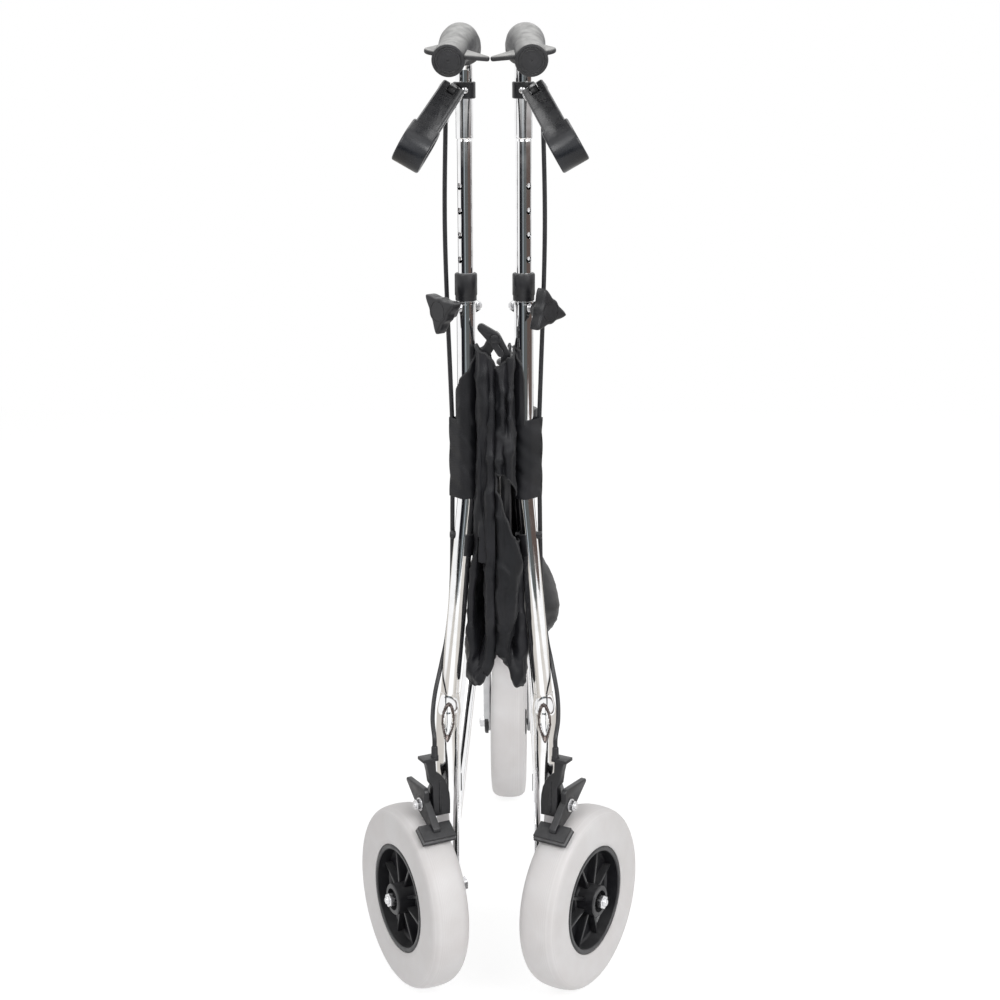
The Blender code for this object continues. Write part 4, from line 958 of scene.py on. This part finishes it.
def makeWheel(tag, place, body, bossHigh, bossLow, recess):
    turned("tyre_fine_" + tag, tyreProfile(), place, "tyre", body, "tyre_" + tag, steps=128, closed=True)
    seat = bossHigh - recess
    profile = [(0.0150, bossHigh), (0.0160, bossHigh - 0.0010)] + mirrored(wheel["web"])
    profile += [(0.0160, bossLow + 0.0010), (0.0150, bossLow), (0.0076, bossLow), (0.0076, seat)]
    if recess:
        profile += [(0.0110, seat), (0.0114, bossHigh)]
    hub = revolve("hub_fine_" + tag, profile, place, 96, closed=True)
    dress(smooth(hub, 30), "plastic", body, "hub_" + tag)
    for i in range(wheel["ribs"]):
        turn = place @ Matrix.Rotation(2 * pi * (i + 0.5) / wheel["ribs"], 4, "Z")
        for sign, face in ((1, "Out"), (-1, "In")):
            rib = box("hubRib%s%d_%s" % (face, i, tag), (0.0350, 0.0030, 0.0110), shift(turn, 0.0330, 0, sign * 0.0088),
                      0.0006)
            for vertex in rib.data.vertices:
                # The rib's rim falls from the boss towards the tyre
                if vertex.co.z * sign > 0:
                    vertex.co.z -= sign * 0.0030 * (vertex.co.x + 0.0175) / 0.035
            dress(rib, "plastic", body)
    bush = [(0.0072, seat + 0.0004), (0.0072, bossLow - 0.0004), (0.0044, bossLow - 0.0004), (0.0044, seat + 0.0004)]
    turned("bush_fine_" + tag, bush, place, "zinc", body, "bush_" + tag, steps=40, closed=True)


def makeRearWheel(side, tag):
    place = basis(Vector((side * abs(wheelX), axleY, axleZ)), wheelAxis(side), up)
    makeWheel(tag, place, "wheel_" + tag, *wheel["rear"])
    turned("axleShaft_" + tag, [(0, 0.0318), (0.0032, 0.0318), (0.0040, 0.0308), (0.0040, -0.0540), (0, -0.0540)],
           place, "zinc", "frame_" + tag, "axle_bolt_" + tag)
    hexNut("axleNut_" + tag, place, 0.0212, 0.0297, wheel["nut"], "frame_" + tag)
    hexNut("axleHead_" + tag, place, -0.0590, -0.0533, wheel["nut"], "frame_" + tag)


def makeFrontWheel():
    spot = Vector(joints["front_wheel_spin"]["pos_m"])
    place = basis(spot, Vector((1, 0, 0)), up)
    makeWheel("front", place, "front_wheel", *wheel["front"])
    shaft = mirrored([(0, 0.0380), (0.0034, 0.0380), (0.0040, 0.0372)])
    turned("frontShaft", shaft, place, "zinc", "fork", "front_axle")
    for side, tag in sides:
        along = basis(spot, Vector((side, 0, 0)), up)
        hexNut("frontNut_" + tag, along, 0.0312, 0.0373, wheel["nut"], "fork")
        turned("frontCap_fine_" + tag, wheel["cap"], along, "plastic", "fork", "front_cap_" + tag, steps=56,
               closed=True)


# Brace clamps: a saddle on the inner and front side of each tube, held by one bolt through it
brace = {"height": 0.4606, "half": 0.0110, "wall": 0.0022, "bolt": 0.0030, "boltRise": 0.0085}


def makeBraceClamp(side, tag):
    spot = legCenter(side, brace["height"])
    lean = (legCenter(side, brace["height"] + 0.01) - spot).normalized()
    place = basis(spot, lean, Vector((-side, 0.25, 0)))
    radius, half, r = frameTube["radius"], brace["half"], brace["bolt"]
    saddle = revolve("braceSaddle_" + tag, ringProfile(radius + brace["wall"], radius + 0.0001, half, -half, 0.0005),
                     place, 56, closed=True)
    booleans(saddle, "DIFFERENCE", box("away", (0.04, 0.05, 0.05), shift(place, -0.0205, 0, 0)))
    dress(saddle, "plastic", "frame_" + tag, "brace_clamp_" + tag)
    bolt = [(0, 0.0142), (r, 0.0139), (r + 0.0010, 0.0128), (r + 0.0010, 0.0102), (r, 0.0100), (r, -0.0128),
            (0, -0.0128)]
    across = basis(spot + lean * brace["boltRise"], Vector((side, 0, 0)), up)
    turned("braceBolt_" + tag, bolt, across, "plastic", "frame_" + tag, steps=24)


for side, tag in sides:
    for make in (makeUpright, makeLeg, makeSideTubes, makeKnob, makeCollar, makeHandleTube, makeGrip, makeLever,
                 makeHousing, makeCables, makeRearWheel, makeBraceClamp, makeBracket, makeBrakeArm):
        make(side, tag)
    refine("brace_yoke_" + tag, "plastic", "yoke_" + tag)
    refine("brace_link_" + tag, "plastic", "link_" + tag)
makeFrontWheel()
makeTube("headTube_fine", "head_tube", 0.0127, 0.0005, "head", 56)
for node, finish, body, bevel in (("head_bracket_lower", "plastic", "head", 0.0010),
                                  ("head_bracket_upper", "plastic", "head", 0.0010),
                                  ("head_cap", "plastic", "head", 0.0005), ("fork", "silver", "fork", 0.0007),
                                  ("brace_latch", "plastic", "latch", 0.0004)):
    refine(node, finish, body, bevel)
print("metal and plastic pieces made")


# Cloth
sleeve = {"tube": (0.0281, 0.039, 0.0108), "casing": (0.0426, 0.0450, 0.0033), "rows": 26, "flat": 0.082}


def makeSleeve(side, tag):
    low, high = (corner.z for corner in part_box("bag_sleeve_" + tag))
    outline = hullOutline([(side * x, y, r) for x, y, r in (sleeve["tube"], sleeve["casing"])][::side])
    shape = bmesh.new()
    rings = []
    for i in range(sleeve["rows"] + 1):
        z = low + (high - low) * i / sleeve["rows"]
        ring = []
        for k, (x, y) in enumerate(outline):
            ripple = 0.0006 * sin(z * 190 + k * 0.35) + 0.0005 * sin(z * 410 + k * 0.9)
            out = Vector((x - side * 0.035, y - 0.042)).normalized() * ripple
            ring.append(shape.verts.new(at(x + out.x, y + out.y, z)))
        rings.append(ring)
    stitch(shape, rings, closed=True)
    cloth = modify(finishShape(shape, "bagSleeve_fine_" + tag), "SOLIDIFY", thickness=bag["thick"], offset=-1)
    applyAll(modify(cloth, "SUBSURF", levels=1, render_levels=1))
    dress(smooth(cloth, 60), "cloth", "frame_" + tag, "bag_sleeve_" + tag)


# The bag hangs between the side frames in three lofted sheets that meet at the middle line. Each fold is given at a
# few heights as points (out from the middle, forward from the axle line), from the middle round the tube to the front.
# Each edge is given as points (place along the fold, height)
folds = {
    "left": {
        .658: [(0, .022), (.003, .0195), (.007, .0195), (.011, .0185), (.0145, .0195), (.0165, .026), (.0172, .040),
               (.0165, .060)],
        .600: [(0, .022), (.003, .015), (.006, .019), (.010, .013), (.0140, .015), (.0166, .022), (.0175, .040),
               (.0165, .060)],
        .540: [(0, .016), (.004, .012), (.0075, .016), (.0098, .034), (.0125, .026), (.0160, .020), (.0178, .036),
               (.0170, .060)],
        .470: [(0, .012), (.005, .011), (.0085, .016), (.0098, .050), (.0135, .042), (.0178, .024), (.0205, .036),
               (.0195, .060)],
        .400: [(0, .013), (.005, .012), (.0088, .018), (.0100, .055), (.0170, .046), (.0240, .028), (.0270, .038),
               (.0255, .065)],
        .355: [(0, .022), (.004, .018), (.0085, .022), (.0105, .044), (.0180, .034), (.0250, .026), (.0290, .038),
               (.0265, .065)],
        .325: [(.001, .040), (.005, .024), (.0110, .016), (.0175, .018), (.0225, .024), (.0270, .030), (.0285, .040),
               (.0255, .065)],
        .295: [(.006, .050), (.009, .032), (.0135, .024), (.0170, .024), (.0210, .028), (.0240, .034), (.0255, .044),
               (.0240, .065)]},
    "right": {
        .655: [(0, .020), (.005, .030), (.010, .034), (.0145, .036), (.0160, .038), (.0168, .042), (.0172, .048),
               (.0160, .062)],
        .545: [(0, .016), (.004, .014), (.009, .014), (.0130, .016), (.0155, .020), (.0172, .028), (.0178, .040),
               (.0165, .060)],
        .500: [(0, .024), (.0042, .008), (.010, .0105), (.0145, .013), (.0168, .018), (.0182, .028), (.0186, .040),
               (.0180, .060)],
        .470: [(0, .026), (.0045, .0075), (.011, .0095), (.0170, .011), (.0200, .016), (.0212, .026), (.0210, .040),
               (.0195, .060)],
        .440: [(0, .026), (.0048, .0075), (.013, .0090), (.0200, .011), (.0238, .016), (.0246, .028), (.0240, .042),
               (.0225, .060)],
        .400: [(0, .024), (.0048, .0085), (.012, .0095), (.0195, .012), (.0212, .030), (.0250, .034), (.0270, .040),
               (.0255, .065)],
        .356: [(0, .020), (.004, .014), (.0095, .013), (.0115, .028), (.0160, .036), (.0240, .028), (.0290, .036),
               (.0265, .065)],
        .325: [(.0015, .045), (.0090, .038), (.0125, .028), (.0165, .022), (.0210, .022), (.0262, .028), (.0285, .040),
               (.0255, .065)],
        .295: [(.010, .052), (.0125, .034), (.0155, .026), (.0190, .025), (.0225, .030), (.0248, .036), (.0258, .046),
               (.0240, .065)]},
    "flap": {
        .658: [(0, .022), (.004, .0195), (.008, .0180), (.012, .0190), (.0150, .0175), (.0168, .024), (.0173, .040),
               (.0165, .060)],
        .600: [(0, .022), (.004, .017), (.008, .012), (.011, .018), (.0150, .013), (.0170, .022), (.0176, .040),
               (.0165, .060)],
        .550: [(0, .017), (.004, .011), (.009, .014), (.013, .009), (.0165, .013), (.0180, .024), (.0178, .040),
               (.0168, .060)],
        .505: [(0, .017), (.004, .012), (.009, .013), (.013, .010), (.0168, .015), (.0184, .026), (.0180, .040),
               (.0170, .060)]},
    "front": [(.0140, .085), (.0120, .130), (.0108, .200), (.0102, .290), (.0085, .370), (.0052, .430)],
}
edges = {
    "left": {"top": [(0, .641), (1.4, .652), (3, .657), (5, .661), (6, .661), (8, .650), (13, .560)],
             "bottom": [(0, .358), (1, .344), (2, .329), (3, .319), (4, .314), (5, .315), (6, .316), (7, .308),
                        (10, .290), (13, .300)]},
    "right": {"top": [(0, .541), (1, .519), (2, .492), (3, .474), (4, .467), (5, .466), (6, .468), (7, .492), (8, .610),
                      (8.6, .648), (13, .560)],
              "bottom": [(0, .358), (1, .350), (2, .338), (3, .322), (4, .314), (5, .314), (6, .316), (7, .308),
                         (10, .290), (13, .300)]},
    "flap": {"top": [(0, .641), (1, .643), (2.5, .648), (4, .6522), (5, .655), (6, .659), (7, .656)],
             "bottom": [(0, .540), (1, .537), (2, .536), (3, .533), (4, .527), (5, .513), (6, .508), (7, .508)]},
}
bag = {"thick": 0.0009, "floorRise": 0.086, "floorRows": 8, "columns": (46, 50), "rows": {"half": 96, "flap": 44},
       "bulge": 0.049, "bulgeY": 0.165, "bulgeSpan": 0.070, "seam": 0.0009, "hem": 0.0012}
turnAt = 7    # the place along the fold where the cloth goes forward from the tube
rearLine = at(0, 0, 0).y


def curvePoint(points, s):
    # Smooth curve through evenly numbered points
    i = min(int(s), len(points) - 2)
    b, c = points[i], points[i + 1]
    a = points[i - 1] if i else b * 2 - c
    d = points[i + 2] if i + 2 < len(points) else c * 2 - b
    return between(a, b, c, d, s - i)


def edgeHeight(edge, s):
    for (s0, z0), (s1, z1) in zip(edge, edge[1:]):
        if s <= s1:
            break
    return z0 + (z1 - z0) * ease(s0, s1, s)


def foldPoint(rows, front, s, z):
    heights = sorted(rows)
    for low, high in zip(heights, heights[1:]):
        if z <= high:
            break
    t = ease(low, high, z)
    return curvePoint([Vector(a) * (1 - t) + Vector(b) * t for a, b in zip(rows[low], rows[high])] + front, s)


def ridge(spot, scale, stretch, seed):
    # Sharp-ridged folds, long where stretch is large
    wave = noise.noise(Vector((spot.x * scale + seed, spot.y * scale, spot.z * scale / stretch)))
    return max(1 - 2.2 * abs(wave), 0) ** 2


def foldMove(spot, normal, s):
    # Creases on the rear panel and softer swags on the walls, none where the cloth is sewn
    rear = 1 - ease(6.0, 8.5, s)
    hold = ease(0.0, 0.5, s) * (1 - ease(12.2, 13.0, s))
    small = noise.noise(spot * 170)
    rearMove = (0.0009 * noise.noise(Vector((spot.x * 120 + spot.y * 95, 3.1, spot.z * 11)))
                + 0.0021 * ridge(spot + Vector((spot.z * 0.35, 0, 0)), 46, 1.6, 5.7)
                + 0.0018 * ridge(spot - Vector((spot.z * 0.45, 0, 0)), 38, 1.9, 11.3) + 0.0006 * small)
    swag = Vector((0, spot.y * 0.8 + spot.z * 0.5, spot.z - spot.y * 0.35))
    wallMove = (0.0046 * noise.noise(Vector((spot.y * 26 + spot.z * 5, 1.7, spot.z * 5 - spot.y * 4)))
                + 0.0030 * ridge(swag, 17, 1.4, 2.2) + 0.0009 * small)
    return normal * (rearMove * rear + wallMove * (1 - rear)) * hold


def keepClear(vertex, side):
    # The cloth lies behind the folded brace, and on the tubes rather than in them
    x, y, z = vertex.co.x * side, vertex.co.y - rearLine, vertex.co.z
    if side < 0 and x < 0.0165 and y < 0.058 and 0.446 < z < 0.60:
        limit = 0.0125 + 0.0070 * ease(0.480, 0.500, z)
        over = y - limit + 0.005
        if over > 0:
            y = limit - 0.005 * exp(-over / 0.005)
    tube = legCenter(1, z)
    away = Vector((x - tube.x, y + rearLine - tube.y))
    reach = frameTube["radius"] + bag["thick"]
    if away.length < reach:
        away = away.normalized() * reach
        x, y = tube.x + away.x, tube.y + away.y - rearLine
    vertex.co = at(side * x, y, z)
    vertex.co.x = side * max(vertex.co.x * side, 0.0003)


def makeBagSheet(side, name, kind, last, rows, floor=False):
    columns = bag["columns"]
    front = [Vector(point) for point in folds["front"]] if last > turnAt else []
    places = [turnAt * k / columns[0] for k in range(columns[0] + 1)]
    if last > turnAt:
        places += [turnAt + (last - turnAt) * k / columns[1] for k in range(1, columns[1] + 1)]
    shape = bmesh.new()
    grid = []
    for s in places:
        top, bottom = edgeHeight(edges[kind]["top"], s), edgeHeight(edges[kind]["bottom"], s)
        column = []
        for i in range(rows + 1):
            z = top + (bottom - top) * i / rows
            out, y = foldPoint(folds[kind], front, s, z)
            if side > 0:
                # The pocket of cloth that sags out between the right leg and its stays
                belly = exp(-((y - bag["bulgeY"]) / bag["bulgeSpan"]) ** 2) * ease(7.2, 8.6, s)
                out += bag["bulge"] * belly * ease(0.296, 0.345, z) * (1 - ease(0.365, 0.475, z))
            elif s > turnAt:
                out += 0.010 * sin(pi * min((s - turnAt) / 6, 1)) * ease(0.29, 0.36, z) * (1 - ease(0.38, 0.60, z))
            column.append(shape.verts.new(at(side * out, y, z)))
        grid.append(column)
    for a, b in zip(grid, grid[1:]):
        for i in range(rows):
            shape.faces.new((a[i], b[i], b[i + 1], a[i + 1]))
    if floor:
        # The bottom panel folds up inside to the middle line
        rim = [column[-1] for column in grid]
        panel = [rim]
        for t in (step / bag["floorRows"] for step in range(1, bag["floorRows"] + 1)):
            panel.append([shape.verts.new(Vector((v.co.x * (1 - ease(0, 1, t)) + side * 0.0005 * ease(0, 1, t),
                                                  v.co.y + 0.006 * sin(t * pi), v.co.z + bag["floorRise"] * t)))
                          for v in rim])
        stitch(shape, panel)
    bmesh.ops.recalc_face_normals(shape, faces=shape.faces)
    shape.normal_update()
    for s, column in zip(places, grid):
        for vertex in column:
            vertex.co += foldMove(vertex.co, vertex.normal, s)
            keepClear(vertex, side)
    for vertex in grid[0]:
        vertex.co.x = 0.0
    hem, seam = ([column[end].co.copy() for column in grid] for end in (0, -1))
    sheet = applyAll(modify(finishShape(shape, name, outward=False), "SOLIDIFY", thickness=bag["thick"], offset=0))
    smooth(sheet, 70)
    trims = [sweep(name + "Hem", hem, bag["hem"], 8), sweep(name + "Seam", seam, bag["seam"], 8)]
    for piece, finish in ((sheet, "cloth"), (trims[0], "binding"), (trims[1], "binding")):
        paint(piece, finish)
        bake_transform(piece)
    return sheet, trims


# The cloth that wraps behind each tube: how far round it goes in degrees, by height, and its flat size
wrap = {"low": 0.583, "high": 0.657, "from": -96, "rows": 40, "columns": 30, "loose": 0.0104,
        "left": [(.600, 98), (.612, 85), (.626, 40), (.641, -25), (.657, -78)],
        "right": [(.600, 4), (.626, 2), (.640, -8), (.652, -45), (.657, -70)],
        "flat": {"left": (0.0340, 0.0585), "right": (0.0185, 0.072)}}


def makeWrap(side, tag):
    # The bag's cloth passes behind the tube; its edge runs out and down to the sleeve
    rows, columns, reach, start = wrap["rows"], wrap["columns"], wrap[tag], wrap["from"]
    shape = bmesh.new()
    grid = []
    for i in range(rows + 1):
        z = wrap["high"] + (wrap["low"] - wrap["high"]) * i / rows
        far = reach[0][1]
        for (z0, a0), (z1, a1) in zip(reach, reach[1:]):
            if z0 <= z <= z1:
                far = a0 + (a1 - a0) * ease(z0, z1, z)
        row = []
        for k in range(columns + 1):
            angle = radians(start + (far - start) * k / columns)
            ripple = noise.noise(Vector((angle * 2.2, z * 26, 4.0 + side)))
            fold = ridge(Vector((angle * 0.5, 0, z * 9)), 2.4, 1.0, 3.3)
            loose = wrap["loose"] + 0.0007 * ripple + 0.0012 * fold * sin(pi * k / columns)
            row.append(shape.verts.new(at(side * (frameTube["x"] + loose * sin(angle)),
                                          frameTube["y"] - loose * cos(angle), z)))
        grid.append(row)
    stitch(shape, grid)
    hem = [row[-1].co.copy() for row in grid]
    cloth = modify(finishShape(shape, "bagWrap_" + tag), "SOLIDIFY", thickness=bag["thick"], offset=0)
    dress(smooth(applyAll(cloth), 70), "cloth", "frame_" + tag)
    trim = dress(sweep("bagWrapHem_" + tag, hem, bag["seam"], 8), "binding", "frame_" + tag)


def makeBag():
    for side, tag in sides:
        sheet, trims = makeBagSheet(side, "bagHalf_" + tag, tag, 13, bag["rows"]["half"], True)
        if side < 0:
            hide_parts("bag")
    sheet, trims = makeBagSheet(1, "bagFlap", "flap", turnAt, bag["rows"]["flap"])


for side, tag in sides:
    makeSleeve(side, tag)
    makeWrap(side, tag)
makeBag()
print("cloth made")


# Studio
studio = {"floor": 0.92, "seen": 0.26, "lift": 0.86, "world": 0.42, "size": 2.6, "rear": 2.15, "aim": (0, 0.2, 0.4)}
room = {"black": (0.010, 0.011, 0.014), "grey": (0.105, 0.115, 0.115), "brown": (0.115, 0.086, 0.076),
        "strip": (0.50, 0.56, 0.62), "warmFloor": (0.50, 0.465, 0.415), "white": (1.0, 1.0, 1.0)}
lamps = {"keyLight": {"spot": (-1.1, -1.9, 2.2), "size": (1.3, 1.3), "power": 21.0},
         "fillLight": {"spot": (1.5, -1.6, 1.9), "size": (1.5, 1.2), "power": 33.0},
         "topLight": {"spot": (0.0, 1.0, 2.6), "size": (2.2, 1.4), "power": 12.0}}


def makeLamp(name, spot, size, power):
    data = bpy.data.lights.new(name, "AREA")
    data.shape, data.energy = "RECTANGLE", power
    data.size, data.size_y = size
    turn = (at(*studio["aim"]) - at(*spot)).to_track_quat("-Z", "Y").to_matrix().to_4x4()
    link(name, data, Matrix.Translation(at(*spot)) @ turn)


def makeFloor():
    half, rear = studio["size"], studio["rear"]
    mesh = bpy.data.meshes.new("floor")
    mesh.from_pydata([(-half, -rear, 0), (half, -rear, 0), (half, half, 0), (-half, half, 0)], [], [(0, 1, 2, 3)])
    floor = link("floor", mesh, Matrix.Translation((0, 0, -0.0005)))
    material, tree = newFinish("studioFloor")
    ray = add(tree, "ShaderNodeLightPath").outputs
    seen = mathNode(tree, "MAXIMUM", ray["Is Camera Ray"], ray["Is Glossy Ray"])
    # Pure white where it is seen, less a part of the object's shadow
    cloud = spread(tree, noiseNode(tree, 3.0, 2.0), 0.3, 0.7)
    paper = mixColor(tree, cloud, (studio["floor"],) * 3, (studio["floor"] - 0.01,) * 3)
    # Metal sees a warmer floor on both sides, which gives the legs their edges
    aside = mathNode(tree, "ABSOLUTE", split(tree, objectPoint(tree))[0])
    warm = times(tree, spread(tree, aside, 0.42, 0.60), spread(tree, aside, 1.70, 1.40))
    glow = mixColor(tree, times(tree, warm, ray["Is Glossy Ray"]), room["white"], room["warmFloor"])
    surface(material, mixColor(tree, seen, paper, (studio["seen"],) * 3), 0.9, others={
        "Specular IOR Level": 0.0, "Emission Color": glow, "Emission Strength": times(tree, seen, studio["lift"])})
    floor.data.materials.append(material)


def makeSky():
    world = bpy.data.worlds.new("studioSky")
    bpy.context.scene.world = world
    world.use_nodes = True
    tree = world.node_tree
    ray = add(tree, "ShaderNodeLightPath").outputs
    x, y, z = split(tree, add(tree, "ShaderNodeTexCoord").outputs["Generated"])
    # Metal shows a white backdrop, and the dimmer room behind the photographer, which reaches further on the right
    toRoom = mathNode(tree, "SUBTRACT", times(tree, x, 0.48), times(tree, y, 0.88))
    roomMask = times(tree, spread(tree, toRoom, -0.02, 0.10), spread(tree, z, -0.03, -0.08))
    dim = mixColor(tree, spread(tree, x, -0.44, -0.34), room["black"], room["grey"])
    fromWindow = mathNode(tree, "ABSOLUTE", plus(tree, x, 0.10))
    dim = mixColor(tree, spread(tree, fromWindow, 0.060, 0.040), dim, room["strip"])
    dim = mixColor(tree, spread(tree, x, 0.58, 0.70), dim, room["brown"])
    mirror = mixColor(tree, roomMask, room["white"], dim)
    soft = mixColor(tree, ray["Is Glossy Ray"], (studio["world"],) * 3, mirror)
    put(tree, tree.nodes["Background"].inputs["Color"], mixColor(tree, ray["Is Camera Ray"], soft, room["white"]))


makeFloor()
makeSky()
for name, lamp in lamps.items():
    makeLamp(name, **lamp)
bpy.context.scene.view_settings.view_transform = "Standard"
print("studio made")
